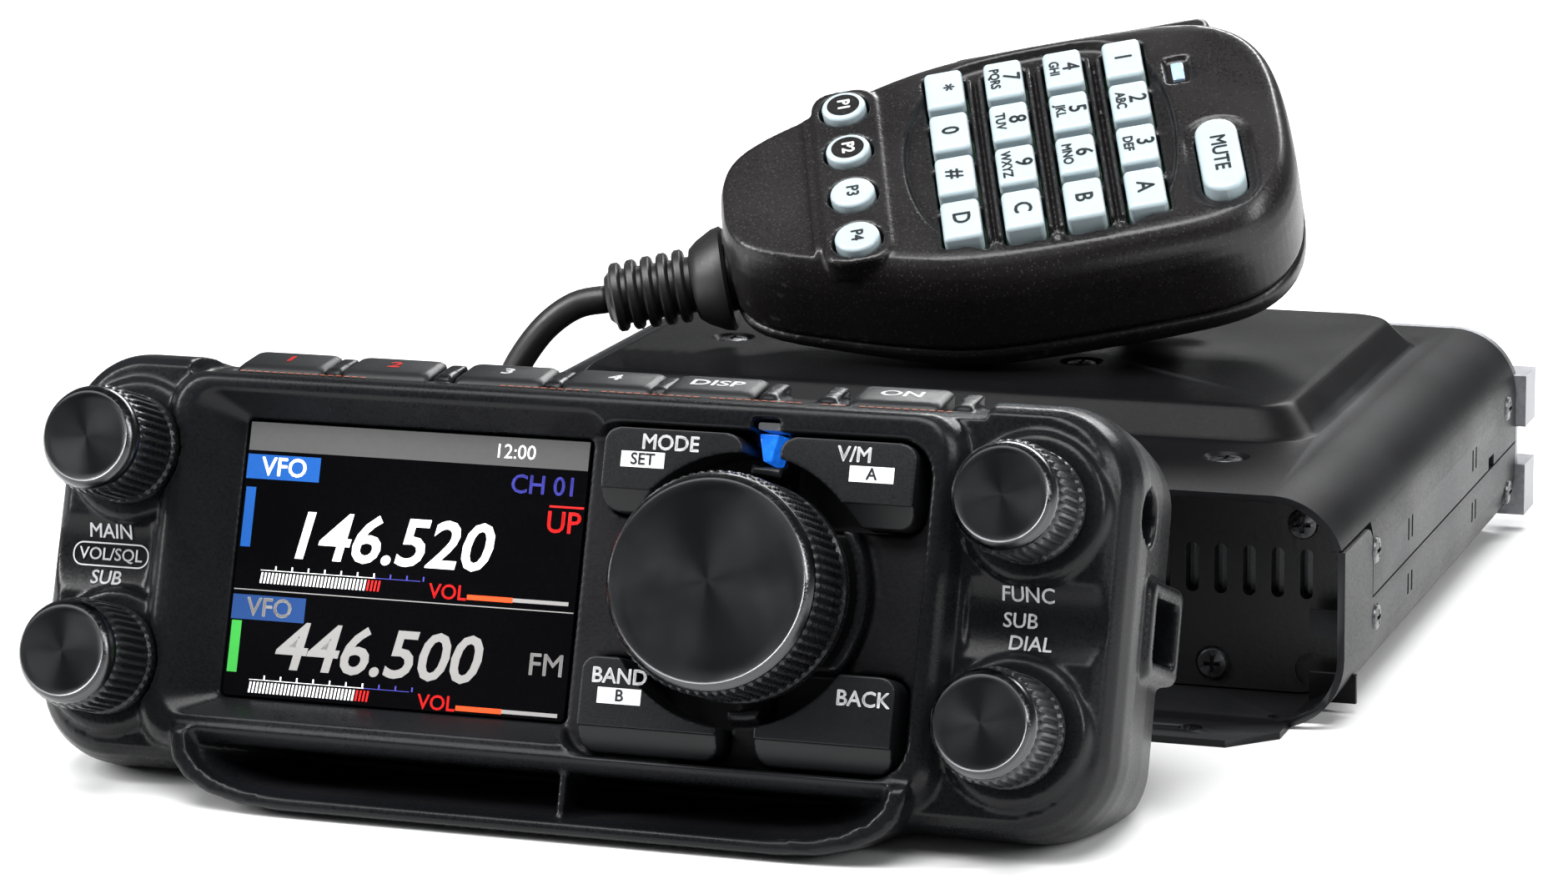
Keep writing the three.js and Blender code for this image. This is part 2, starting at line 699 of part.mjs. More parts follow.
function micOutline(sx, sy) {
  const lower = MIC_HALF.slice(1, -1).reverse().map(([x, y]) => [x, -y]);
  return [...MIC_HALF, ...lower].map(([x, y]) => [MIC_MIDDLE + (x - MIC_MIDDLE) * sx, y * sy]);
}

// The back's depth grows from the cord end to the middle.
function backLevel(sx, sy, z) {
  return [
    micOutline(sx, sy).map(([x, y]) => {
      const depth = THREE.MathUtils.clamp(1 + (x + 14) * 0.014, 0.6, 1);
      return [x, y, MIC_SEAM - GAP + (z - MIC_SEAM + GAP) * depth];
    }),
  ];
}

const KEY_NAMES = [
  ["1", "2", "3", "a"],
  ["4", "5", "6", "b"],
  ["7", "8", "9", "c"],
  ["star", "0", "hash", "d"],
];
const keyAt = (row, column) => [(1.5 - row) * KEY_PITCH_X, (1.5 - column) * KEY_PITCH_Y];
const TALK_BAR = [-12.3, 27.2, 24.9, -12];

function micFrontShell() {
  const outer = solid(
    stack(
      [micOutline(1, 1), MIC_SEAM],
      [micOutline(1, 1), -6],
      [micOutline(0.985, 0.96), -2.4],
      [micOutline(0.955, 0.875), 0],
    ),
  );
  const inner = solid(
    stack(
      [micOutline(0.95, 0.92), MIC_SEAM - 1],
      [micOutline(0.93, 0.87), -2],
    ),
  );
  const holes = [];
  KEY_NAMES.forEach((names, row) =>
    names.forEach((name, column) => {
      const [x, y] = keyAt(row, column);
      const [w, h] = KEY_SIZE.map((s) => s / 2 + GAP);
      holes.push(block(x - w, x + w, y - h, y + h, -5, 1));
    }),
  );
  for (let column = 0; column < 4; column++)
    holes.push(rod(P_KEY_X, keyAt(0, column)[1], 3.8, -5, 1, 10));
  holes.push(prism(roundRect(21.4, 28.2, -19.4, -2.4, 3.3, 2), -5, 1));
  holes.push(block(24.6, 27.4, 4.4, 6.8, -3, 1));
  const [x0, x1, y0, z0] = TALK_BAR;
  holes.push(block(x0 - GAP, x1 + GAP, y0 - 2, 31, z0 - GAP, -3.7));
  const exit = alongX(circle(0, MIC_SEAM, 5.3, 12), -52, -44);
  return cut(outer, inner, ...holes, exit);
}

function micBackShell() {
  const outer = solid(
    stack(
      backLevel(0.82, 0.4, MIC_BACK),
      backLevel(0.93, 0.72, -23),
      backLevel(1, 0.985, -18.2),
      backLevel(1, 1, MIC_SEAM - GAP),
    ),
  );
  const inner = solid(
    stack(
      backLevel(0.76, 0.33, MIC_BACK + 2.2),
      backLevel(0.88, 0.65, -21),
      backLevel(0.95, 0.91, -17.5),
      [micOutline(0.95, 0.92), MIC_SEAM + 1],
    ),
  );
  const hanger = turned(
    [[0, -34.3], [7, -34.3], [8, -33.3], [8, -31.7], [5, -31], [5, -26], [0, -26]],
    12,
    12,
    0,
  );
  const exit = alongX(circle(0, MIC_SEAM, 5.3, 12), -52, -44);
  return cut(union(cut(outer, inner), hanger), exit);
}

// The moulded strain relief: a collar gripped by the shells, then ribs down to the cord.
function micBoot() {
  const profile = [[0, 46.5], [5, 46.5], [5, -BOOT_START], [8, -BOOT_START], [5.8, 54.6], [4.2, 55]];
  for (let x = 55.8; x < 67; x += 3) profile.push([5.4, x], [5.3, x + 1.6], [4.1, x + 2.2]);
  profile.push([0, -BOOT_END]);
  const g = geometryOf(turned(profile, 10));
  g.rotateY(-Math.PI / 2);
  g.translate(0, 0, MIC_SEAM);
  return solid(g);
}

function micBoard() {
  return union(
    prism(micOutline(0.86, 0.8), -6.4, -4.8),
    rod(26, 5.6, 2.8, -6, -2.6, 10),
    block(-25, 15, -15, 15, -8.6, -6),
  );
}

add(mic, "mic_front_shell", micFrontShell(), MIC_BLACK);
add(mic, "mic_back_shell", micBackShell(), MIC_BLACK);
add(mic, "mic_boot", micBoot(), CORD_BLACK);
add(mic, "mic_board", micBoard(), CIRCUIT);
KEY_NAMES.forEach((names, row) =>
  names.forEach((name, column) => {
    const [x, y] = keyAt(row, column);
    const [w, h] = KEY_SIZE.map((s) => s / 2);
    const key = stack(
      [roundRect(x - w, x + w, y - h, y + h, 0.8, 1), -3.4],
      [roundRect(x - w, x + w, y - h, y + h, 0.8, 1), 0.7],
      [roundRect(x - w + 0.4, x + w - 0.4, y - h + 0.4, y + h - 0.4, 0.6, 1), 1.3],
    );
    add(mic, "key_" + name, solid(key), KEY_WHITE);
  }),
);
for (let column = 0; column < 4; column++) {
  const key = turned(
    [[0, -3.4], [3.3, -3.4], [3.3, 0.8], [2.8, 1.4], [0, 1.4]],
    10,
    P_KEY_X,
    keyAt(0, column)[1],
  );
  add(mic, "key_p" + (column + 1), key, KEY_WHITE);
}
add(
  mic,
  "key_mute",
  solid(
    stack(
      [roundRect(21.7, 27.9, -19.1, -2.7, 3, 2), -3.4],
      [roundRect(21.7, 27.9, -19.1, -2.7, 3, 2), 0.9],
      [roundRect(22.2, 27.4, -18.6, -3.2, 2.5, 2), 1.5],
    ),
  ),
  KEY_WHITE,
);
const [BAR_X0, BAR_X1, BAR_Y0, BAR_Z0] = TALK_BAR;
add(
  mic,
  "talk_bar",
  solid(
    stack(
      [roundRect(BAR_X0, BAR_X1, BAR_Y0, 29.4, 1.4, 2), BAR_Z0],
      [roundRect(BAR_X0, BAR_X1, BAR_Y0, 29.6, 1.4, 2), -5],
      [roundRect(BAR_X0 + 0.8, BAR_X1 - 0.8, BAR_Y0, 28.6, 1.2, 2), -4],
    ),
  ),
  MIC_BLACK,
);

// ---- Microphone cord ----------------------------------------------------------------------
const micPoint = (x) =>
  new THREE.Vector3(x, 0, MIC_SEAM).applyMatrix4(mic.matrixWorld).toArray();
const LEAD = [
  micPoint(BOOT_END - GAP),
  micPoint(BOOT_END - 4.5),
  [-63, -10.9, 39.9],
  [-66.8, -10.8, 35.6],
  [-70, -10.3, 30.4],
  [-71.8, -9.6, 24.5],
  [-72.4, -8.8, 18],
  [-72.5, -7, 11.5],
  [-72.5, -2.6, 5.6],
  [-72.5, 4.5, 2.7],
  [-72.5, 14, 2.5],
  [-72.6, 24, 2.5],
  [-72.8, 31, 2.5],
  [-74.2, 38, 2.5],
  [-78.6, 42.2, 2.5],
  [CURL_X, CURL_START + 2.7, 2.5],
];
const TAIL = [
  [CURL_X, CURL_END - 2.5, 15.4],
  [-79, -80.4, 15.2],
  [-73.5, -80.6, 14.1],
  [-67.5, -81, 12.6],
  [-61.5, -80.2, 11.5],
  [-56.2, -77, 11.4],
  [-53, -72, 12],
  [JACK_X, -67.5, 12.7],
  [JACK_X, -64.4, JACK_Z],
];
add(radio, "mic_cord_lead", tube(LEAD, CORD_R, 26), CORD_BLACK);
add(radio, "mic_cord_curl", alongY(circle(CURL_X, CURL_Z, CURL_R, 12), CURL_END, CURL_START), CORD_BLACK);
add(radio, "mic_cord_tail", tube(TAIL, CORD_R, 16), CORD_BLACK);
add(
  radio,
  "mic_plug",
  union(
    block(JACK_X - 5.8, JACK_X + 5.8, -57, -37, JACK_Z - 4, JACK_Z + 4),
    alongY(circle(JACK_X, JACK_Z, 3.7, 10), -64, -56),
  ),
  DARK_PLASTIC,
);

export default radio;
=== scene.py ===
"""Looks of a mobile transceiver: radio body, tilting control panel and keypad hand microphone."""

import math

import bmesh
import bpy
import numpy as np
from mathutils import Matrix, Vector
from mathutils.bvhtree import BVHTree


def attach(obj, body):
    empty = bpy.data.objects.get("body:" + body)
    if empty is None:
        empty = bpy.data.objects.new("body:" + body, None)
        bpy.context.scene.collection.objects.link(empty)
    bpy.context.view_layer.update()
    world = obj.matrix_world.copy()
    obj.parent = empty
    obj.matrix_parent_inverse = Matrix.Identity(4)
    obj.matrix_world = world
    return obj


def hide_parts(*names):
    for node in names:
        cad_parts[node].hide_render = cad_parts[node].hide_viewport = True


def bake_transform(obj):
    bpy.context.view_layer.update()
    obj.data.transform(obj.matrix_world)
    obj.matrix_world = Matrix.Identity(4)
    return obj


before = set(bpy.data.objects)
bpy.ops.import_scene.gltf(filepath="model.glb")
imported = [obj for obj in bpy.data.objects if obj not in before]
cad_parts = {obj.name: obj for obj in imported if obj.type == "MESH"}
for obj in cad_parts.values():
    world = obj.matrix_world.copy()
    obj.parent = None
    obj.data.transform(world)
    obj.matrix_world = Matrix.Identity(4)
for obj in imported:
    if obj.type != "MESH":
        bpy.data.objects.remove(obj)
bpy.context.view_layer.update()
MM = 0.001
rad = math.radians

# ---- Camera, in metres ----------------------------------------------------------------------
AZIMUTH, ELEVATION, ROLL = rad(19.336), rad(12.545), rad(-0.856)
back = Vector((math.sin(AZIMUTH) * math.cos(ELEVATION),
               -math.cos(AZIMUTH) * math.cos(ELEVATION), math.sin(ELEVATION)))
right = (-back).cross(Vector((0, 0, 1))).normalized()
up = right.cross(-back)
side = right * math.cos(ROLL) + up * math.sin(ROLL)
top = -right * math.sin(ROLL) + up * math.cos(ROLL)
EYE = Vector((0.2104, -0.6854, 0.1824))
camera = bpy.data.objects.new("camera", bpy.data.cameras.new("camera"))
camera.data.lens = 113.70
camera.data.sensor_width = 36
camera.data.clip_start = 0.01
camera.matrix_world = Matrix([
    [side[i], top[i], back[i], EYE[i]] for i in range(3)] + [[0, 0, 0, 1]])
bpy.context.scene.collection.objects.link(camera)
bpy.context.scene.camera = camera

# ---- Local frames, in millimetres ----------------------------------------------------------
BODY = Matrix.Identity(4)
# Control panel: u to the right, v up the screen, n out of it.
PANEL = Matrix.Translation((-17.93, -121.02, 29.06)) @ Matrix.Rotation(rad(90 - 19.59), 4, "X")
# Microphone: x toward its top end, y toward the talk bar, z out of its face.
MIC = (Matrix.Translation((9.77, 3.06, 67.61)) @ Matrix.Rotation(rad(16.97), 4, "Z")
       @ Matrix.Rotation(rad(-9.49), 4, "Y") @ Matrix.Rotation(rad(29.21), 4, "X"))


def placed(x, y, z, angle=0.0, axis="X", base=BODY):
    """A frame at a point of another frame, turned about one of that frame's axes."""
    return base @ Matrix.Translation((x, y, z)) @ Matrix.Rotation(rad(angle), 4, axis)


# ---- Mesh code ------------------------------------------------------------------------------
# A shape is (points, faces) in millimetres of a local frame; outlines run counter-clockwise.
def round_rect(x0, x1, y0, y1, r, steps=10):
    points = []
    for cx, cy, start in ((x1 - r, y0 + r, -90), (x1 - r, y1 - r, 0),
                          (x0 + r, y1 - r, 90), (x0 + r, y0 + r, 180)):
        for i in range(steps + 1):
            a = rad(start + 90 * i / steps)
            points.append((cx + r * math.cos(a), cy + r * math.sin(a)))
    return points


def circle(cx, cy, r, sides=64):
    return [(cx + r * math.cos(2 * math.pi * i / sides), cy + r * math.sin(2 * math.pi * i / sides))
            for i in range(sides)]


def stack(*levels):
    """A closed body through (outline, z) levels; an outline of 3-D points keeps its own z."""
    points = []
    count = len(levels[0][0])
    for outline, z in levels:
        points += [(p[0], p[1], p[2] if len(p) > 2 else z) for p in outline]
    last = (len(levels) - 1) * count
    ends = [tuple(range(count))[::-1], tuple(range(last, last + count))]
    return points, ring_faces(len(levels), count) + ends


def ring_faces(count, sides):
    """The quads between rings of points that follow each other."""
    return [(k * sides + i, k * sides + (i + 1) % sides,
             (k + 1) * sides + (i + 1) % sides, (k + 1) * sides + i)
            for k in range(count - 1) for i in range(sides)]


def turned(profile, sides=64, cx=0, cy=0):
    """A turned body about z, from a profile of (radius, z) that starts and ends on the axis."""
    inner = [(r, z) for r, z in profile if r > 0]
    points = [(x, y, z) for r, z in inner for x, y in circle(cx, cy, r, sides)]
    faces = ring_faces(len(inner), sides)
    points += [(cx, cy, profile[0][1]), (cx, cy, profile[-1][1])]
    first, end = len(points) - 2, (len(inner) - 1) * sides
    for i in range(sides):
        j = (i + 1) % sides
        faces += [(first, j, i), (first + 1, end + i, end + j)]
    return points, faces


def prism(outline, z0, z1):
    return stack((outline, z0), (outline, z1))


def block(x0, x1, y0, y1, z0, z1):
    return prism([(x0, y0), (x1, y0), (x1, y1), (x0, y1)], z0, z1)


def rod(cx, cy, r, z0, z1, sides=48):
    return prism(circle(cx, cy, r, sides), z0, z1)


def moved(shape, matrix):
    return [tuple(matrix @ Vector(p)) for p in shape[0]], shape[1]


SWAP_X = Matrix(((0, 0, 1, 0), (1, 0, 0, 0), (0, 1, 0, 0), (0, 0, 0, 1)))
SWAP_Y = Matrix(((1, 0, 0, 0), (0, 0, -1, 0), (0, 1, 0, 0), (0, 0, 0, 1)))


def along_x(outline, x0, x1):
    """A section in y and z, carried along x."""
    return moved(prism(outline, x0, x1), SWAP_X)


def along_y(outline, y0, y1):
    """A section in x and z, carried along y."""
    return moved(prism(outline, -y1, -y0), SWAP_Y)


def joined(*shapes):
    points, faces = [], []
    for p, f in shapes:
        faces += [tuple(i + len(points) for i in face) for face in f]
        points += list(p)
    return points, faces


def raw(shape, place=BODY, name="raw"):
    """A mesh object in metres from a shape in a local frame."""
    mesh = bpy.data.meshes.new(name)
    mesh.from_pydata([tuple((place @ Vector(p)) * MM) for p in shape[0]], [], shape[1])
    bm = bmesh.new()
    bm.from_mesh(mesh)
    bmesh.ops.recalc_face_normals(bm, faces=bm.faces)
    bm.to_mesh(mesh)
    bm.free()
    made = bpy.data.objects.new(name, mesh)
    bpy.context.scene.collection.objects.link(made)
    return made


def applied(o):
    mesh = bpy.data.meshes.new_from_object(
        o.evaluated_get(bpy.context.evaluated_depsgraph_get()))
    o.modifiers.clear()
    old, o.data = o.data, mesh
    bpy.data.meshes.remove(old)
    return o


def carve(shape, steps, place=BODY):
    """Joins (+) and cuts (-) shapes, in order, into one body."""
    body = raw(shape, place)
    tools = []
    for sign, tool in steps:
        tools.append(raw(tool, place))
        m = body.modifiers.new("carve", "BOOLEAN")
        m.solver = "MANIFOLD"
        m.operation = "UNION" if sign == "+" else "DIFFERENCE"
        m.object = tools[-1]
    applied(body)
    for tool in tools:
        mesh = tool.data
        bpy.data.objects.remove(tool)
        bpy.data.meshes.remove(mesh)
    return body


def softened(o, voxel, rounds):
    """Rounds every edge as a moulding has it."""
    m = o.modifiers.new("remesh", "REMESH")
    m.mode = "VOXEL"
    m.voxel_size = voxel * MM
    m.adaptivity = 0
    s = o.modifiers.new("smooth", "SMOOTH")
    s.factor = 0.5
    s.iterations = rounds
    return applied(o)


def edge_bevel(o, width, angle):
    """A small round on the edges that turn by more than an angle, in degrees."""
    m = o.modifiers.new("edges", "BEVEL")
    m.width = width * MM
    m.segments = 2
    m.limit_method = "ANGLE"
    m.angle_limit = rad(angle)


def bevelled(o, width, angle=35):
    edge_bevel(o, width, angle)
    return applied(o)


def piece(o, name, body, look, nodes=(), sharp=32):
    """Names a finished mesh, gives it its material and the CAD body and nodes that it goes with."""
    o.name = o.data.name = name
    if look is not None:
        o.data.materials.clear()
        o.data.materials.append(look)
    o.data.shade_smooth()
    o.data.set_sharp_from_angle(angle=rad(sharp))
    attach(o, body)
    if nodes:
        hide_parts(*nodes)
    if sharp < 45:
        even = o.modifiers.new("even_shading", "WEIGHTED_NORMAL")
        even.keep_sharp = True
    return o


def merged(objects):
    """Several meshes as one, each with its own materials."""
    first = objects[0]
    with bpy.context.temp_override(active_object=first, selected_editable_objects=objects):
        bpy.ops.object.join()
    return first


# ---- Materials ------------------------------------------------------------------------------
def node(tree, kind, links=None, **settings):
    made = tree.nodes.new("ShaderNode" + kind)
    for key, value in settings.items():
        setattr(made, key, value)
    for socket, value in (links or {}).items():
        if isinstance(value, bpy.types.NodeSocket):
            tree.links.new(value, made.inputs[socket])
        else:
            made.inputs[socket].default_value = value
    return made


def span(tree, value, low, high, to_low, to_high):
    return node(tree, "MapRange", {"Value": value, "From Min": low, "From Max": high,
                                   "To Min": to_low, "To Max": to_high}).outputs["Result"]


def shade(colour, by):
    return [min(1.0, c * by) for c in colour[:3]] + [1.0]


def mixed(tree, share, first, second):
    """The colour that lies between two, by a share from 0 to 1."""
    return node(tree, "Mix", {0: share, 6: first, 7: second}, data_type="RGBA").outputs[2]


def empty_material(name):
    made = bpy.data.materials.new(name)
    made.use_nodes = True
    return made, made.node_tree, made.node_tree.nodes["Principled BSDF"]


def material(name, colour, roughness, metallic=0.0, grain=2600.0, depth=0.012, vary=0.18,
             rough_vary=0.07, wear=0.0, speckle=0.0, coat=0.0, specular=0.5, glow=0.0):
    """A moulded or painted surface: fine grain, soft colour drift, rubbed edges."""
    made, tree, shader = empty_material(name)
    place = node(tree, "TexCoord").outputs["Object"]
    broad = node(tree, "TexNoise", {"Vector": place, "Scale": 55.0, "Detail": 3.0}).outputs["Fac"]
    fine = node(tree, "TexNoise", {"Vector": place, "Scale": grain, "Detail": 2.0}).outputs["Fac"]
    drift = node(tree, "Math", {0: broad, 1: fine}, operation="ADD").outputs[0]
    tone = mixed(tree, span(tree, drift, 0.7, 1.3, 0, 1), shade(colour, 1 - vary),
                 shade(colour, 1 + vary))
    if speckle:
        dots = node(tree, "TexVoronoi", {"Vector": place, "Scale": grain * 0.6}).outputs["Distance"]
        tone = mixed(tree, span(tree, dots, 0.24, 0.1, 0, speckle), tone, [0.3, 0.29, 0.28, 1])
    if wear:
        edge = node(tree, "NewGeometry").outputs["Pointiness"]
        rub = node(tree, "Math", {0: span(tree, edge, 0.52, 0.62, 0, wear), 1: broad},
                   operation="MULTIPLY").outputs[0]
        tone = mixed(tree, rub, tone, [0.35, 0.36, 0.38, 1])
    tree.links.new(tone, shader.inputs["Base Color"])
    tree.links.new(span(tree, drift, 0.7, 1.3, roughness - rough_vary, roughness + rough_vary),
                   shader.inputs["Roughness"])
    bump = node(tree, "Bump", {"Height": fine, "Strength": 1.0, "Distance": depth * MM})
    tree.links.new(bump.outputs[0], shader.inputs["Normal"])
    shader.inputs["Metallic"].default_value = metallic
    shader.inputs["Specular IOR Level"].default_value = specular
    shader.inputs["Coat Weight"].default_value = coat
    shader.inputs["Coat Roughness"].default_value = 0.05
    if glow:
        tree.links.new(tone, shader.inputs["Emission Color"])
        shader.inputs["Emission Strength"].default_value = glow
    return made


def spun_metal(name, colour, roughness, rings=900.0):
    """Dark turned metal: hair-fine rings about the axis that spread each light into a wedge."""
    made, tree, shader = empty_material(name)
    uv = node(tree, "UVMap", uv_map="turned").outputs[0]
    across = node(tree, "SeparateXYZ", {0: uv}).outputs["Y"]
    lines = node(tree, "TexNoise", {"W": across, "Scale": rings, "Detail": 3.0},
                 noise_dimensions="1D").outputs["Fac"]
    place = node(tree, "TexCoord").outputs["Object"]
    broad = node(tree, "TexNoise", {"Vector": place, "Scale": 120.0, "Detail": 2.0}).outputs["Fac"]
    tone = mixed(tree, span(tree, lines, 0.3, 0.7, 0, 1), shade(colour, 0.75), shade(colour, 1.3))
    tree.links.new(tone, shader.inputs["Base Color"])
    tree.links.new(span(tree, broad, 0.3, 0.7, roughness - 0.03, roughness + 0.04),
                   shader.inputs["Roughness"])
    shader.inputs["Metallic"].default_value = 1.0
    shader.inputs["Anisotropic"].default_value = 0.85
    tree.links.new(node(tree, "Tangent", direction_type="UV_MAP", uv_map="turned").outputs[0],
                   shader.inputs["Tangent"])
    bump = node(tree, "Bump", {"Height": lines, "Strength": 0.25, "Distance": 0.01 * MM})
    tree.links.new(bump.outputs[0], shader.inputs["Normal"])
    return made


def two_tone(name, look, axis, start, full, other, metal=None):
    """A copy of a material that turns to another colour beyond a plane across the axis."""
    made = look.copy()
    made.name = name
    tree = made.node_tree
    shader = tree.nodes["Principled BSDF"]
    place = node(tree, "SeparateXYZ", {0: node(tree, "TexCoord").outputs["Object"]}).outputs[axis]
    beyond = span(tree, place, start, full, 0, 1)
    old = shader.inputs["Base Color"].links[0].from_socket
    tree.links.new(mixed(tree, beyond, old, other), shader.inputs["Base Color"])
    if metal is not None:
        tree.links.new(span(tree, beyond, 0, 1, metal, 0), shader.inputs["Metallic"])
    return made


def printed(name, colour):
    return material(name, colour, 0.5, grain=5000.0, depth=0.002, vary=0.04)


SATIN_BLACK = material("satin_black_paint", (0.004, 0.004, 0.0045), 0.36, depth=0.004, wear=0.15,
                       specular=0.07)
PANEL_GREY = material("charcoal_plastic", (0.0045, 0.0048, 0.0058), 0.31, depth=0.014, wear=0.08,
                      specular=0.18)
# Black of the speakers; on the housing's duct and pocket floor the same black is painted shade.
SPEAKER_BLACK_AND_RECESS_SHADE = material("speaker_black_and_recess_shade", (0.003, 0.003, 0.004), 0.5, specular=0.2)
RUBBER = material("button_rubber", (0.0065, 0.007, 0.008), 0.4, grain=4200.0, depth=0.006,
                  specular=0.26)
SPUN = spun_metal("spun_black", (0.07, 0.072, 0.075), 0.22)
KNURL = material("knurled_black", (0.022, 0.023, 0.025), 0.3, metallic=0.7, grain=3000.0,
                 depth=0.006, wear=0.5)
MIC_BLACK = material("speckled_plastic", (0.006, 0.005, 0.0053), 0.33, depth=0.016, speckle=0.1,
                     wear=0.1, specular=0.4)
KEY_WHITE = material("key_rubber", (0.36, 0.44, 0.47), 0.42, grain=2500.0, depth=0.004, vary=0.04,
                     coat=0.1)
CORD = material("cord_rubber", (0.008, 0.0075, 0.0075), 0.42, grain=2200.0, depth=0.01)
PLUG = material("plug_plastic", (0.02, 0.02, 0.021), 0.4)
ALUMINIUM = material("cast_aluminium", (0.26, 0.265, 0.28), 0.4, metallic=0.9, grain=1500.0,
                     depth=0.03, wear=0.3)
NICKEL = material("nickel", (0.62, 0.6, 0.56), 0.26, metallic=1.0, depth=0.004)
GOLD = material("gold_contacts", (0.8, 0.58, 0.22), 0.25, metallic=1.0, depth=0.002)
SCREW = material("blackened_screw", (0.03, 0.03, 0.032), 0.3, metallic=0.8, depth=0.006, wear=0.6)
WHITE_PRINT = printed("white_print", (0.75, 0.76, 0.77))
GREY_PRINT = printed("grey_print", (0.5, 0.51, 0.53))
DARK_PRINT = printed("dark_print", (0.03, 0.035, 0.04))
RED_PRINT = printed("red_print", (0.62, 0.03, 0.03))
ORANGE_PRINT = printed("orange_print", (0.5, 0.09, 0.02))


# ---- Microphone cord ------------------------------------------------------------------------
CORD_R = 2.1
CURL_X, CURL_Z, CURL_MEAN_R = -84, 8.9, 6.15
CURL_FROM, CURL_TO, CURL_TURNS = 41.6, -80.3, 28.5


def mic_point(x, y=0.0, z=-15.0):
    return tuple(MIC @ Vector((x, y, z)))


LEAD = [mic_point(-68), mic_point(-72.5), (-63, -10.9, 39.9), (-66.8, -10.8, 35.6),
        (-70, -10.3, 30.4), (-71.8, -9.6, 24.5), (-72.4, -8.8, 18), (-72.5, -7, 11.5),
        (-72.5, -2.6, 5.6), (-72.5, 4.5, 2.7), (-72.5, 14, 2.5), (-72.6, 24, 2.5),
        (-72.8, 31, 2.5), (-74.4, 37.5, 2.4), (-78.6, 41, 2.4)]
TAIL = [(-79, -80.5, 15.2), (-73.5, -80.6, 14.1), (-67.5, -81, 12.6), (-61.5, -80.2, 11.5),
        (-56.2, -77, 11.4), (-53, -72, 12), (-52, -67.5, 12.7), (-52, -63, 12.8), (-52, -58, 12.8)]


def smooth_line(points, step=1.0):
    """A Catmull-Rom curve through the points, resampled at even steps."""
    p = np.array(points, float)
    p = np.vstack([2 * p[0] - p[1], p, 2 * p[-1] - p[-2]])
    line = []
    for i in range(1, len(p) - 2):
        p0, p1, p2, p3 = p[i - 1:i + 3]
        t = np.cumsum([0] + [np.linalg.norm(b - a) ** 0.5
                             for a, b in ((p0, p1), (p1, p2), (p2, p3))])
        for s in np.linspace(t[1], t[2], 12, endpoint=False):
            a1, a2, a3 = (
                (t[k + 1] - s) / (t[k + 1] - t[k]) * q + (s - t[k]) / (t[k + 1] - t[k]) * r
                for k, q, r in ((0, p0, p1), (1, p1, p2), (2, p2, p3)))
            b1 = (t[2] - s) / (t[2] - t[0]) * a1 + (s - t[0]) / (t[2] - t[0]) * a2
            b2 = (t[3] - s) / (t[3] - t[1]) * a2 + (s - t[1]) / (t[3] - t[1]) * a3
            line.append((t[2] - s) / (t[2] - t[1]) * b1 + (s - t[1]) / (t[2] - t[1]) * b2)
    line = np.array(line + [p[-2]])
    for _ in range(6):
        line[1:-1] = (line[:-2] + 2 * line[1:-1] + line[2:]) / 4
    along = np.concatenate([[0], np.cumsum(np.linalg.norm(np.diff(line, axis=0), axis=1))])
    at = np.linspace(0, along[-1], int(along[-1] / step) + 1)
    return np.stack([np.interp(at, along, line[:, k]) for k in range(3)], axis=1)


def tube(line, radius, name, sides=14):
    """A tube along a line in millimetres, closed by flat ends."""
    tangent = np.gradient(line, axis=0)
    tangent /= np.linalg.norm(tangent, axis=1)[:, None]
    normal = np.cross(tangent[0], (0, 0, 1))
    rings = []
    for p, t in zip(line, tangent):
        normal = normal - t * (normal @ t)
        normal /= np.linalg.norm(normal)
        other = np.cross(t, normal)
        rings += [tuple(p + radius * (math.cos(a) * normal + math.sin(a) * other))
                  for a in np.linspace(0, 2 * math.pi, sides, endpoint=False)]
    count = len(line)
    ends = [tuple(range(sides)), tuple(range((count - 1) * sides, count * sides))]
    return raw((rings, ring_faces(count, sides) + ends), BODY, name)


turn = np.linspace(0, CURL_TURNS, int(CURL_TURNS * 36) + 1)
helix = [(CURL_X + CURL_MEAN_R * math.cos(-math.pi / 2 - 2 * math.pi * k),
          CURL_FROM + (CURL_TO - CURL_FROM) * k / CURL_TURNS,
          CURL_Z + CURL_MEAN_R * math.sin(-math.pi / 2 - 2 * math.pi * k)) for k in turn]
route = smooth_line(LEAD + helix[::3] + TAIL)
cord = tube(route, CORD_R, "microphone_cord")
cord.data.materials.append(CORD)
cord.data.shade_smooth()
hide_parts("mic_cord_lead", "mic_cord_curl", "mic_cord_tail")
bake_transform(cord)

# Modular plug: grooved block, collar in two sizes and latch.
plug_shape = stack(*[(round_rect(-57.8 + d, -46.2 - d, 8.8 + d, 16.8 - d, 0.8, 4), -y)
                     for d, y in ((0.5, -37), (0, -37.5), (0, -56.4), (0.4, -57))])
plug_steps = [("-", block(-56 + 1.35 * i, -55.4 + 1.35 * i, -43.5, -36, 8, 10.2)) for i in range(8)]
plug_steps += [("+", along_y(circle(-52, 12.8, 3.6, 32), -62.5, -56)),
               ("+", along_y(circle(-52, 12.8, 3.0, 32), -64, -62.4)),
               ("+", block(-54.2, -49.8, -52, -38, 16.7, 18.2))]
plug = piece(carve(moved(plug_shape, SWAP_Y), plug_steps), "modular_plug", "radio", PLUG,
             ["mic_plug"])

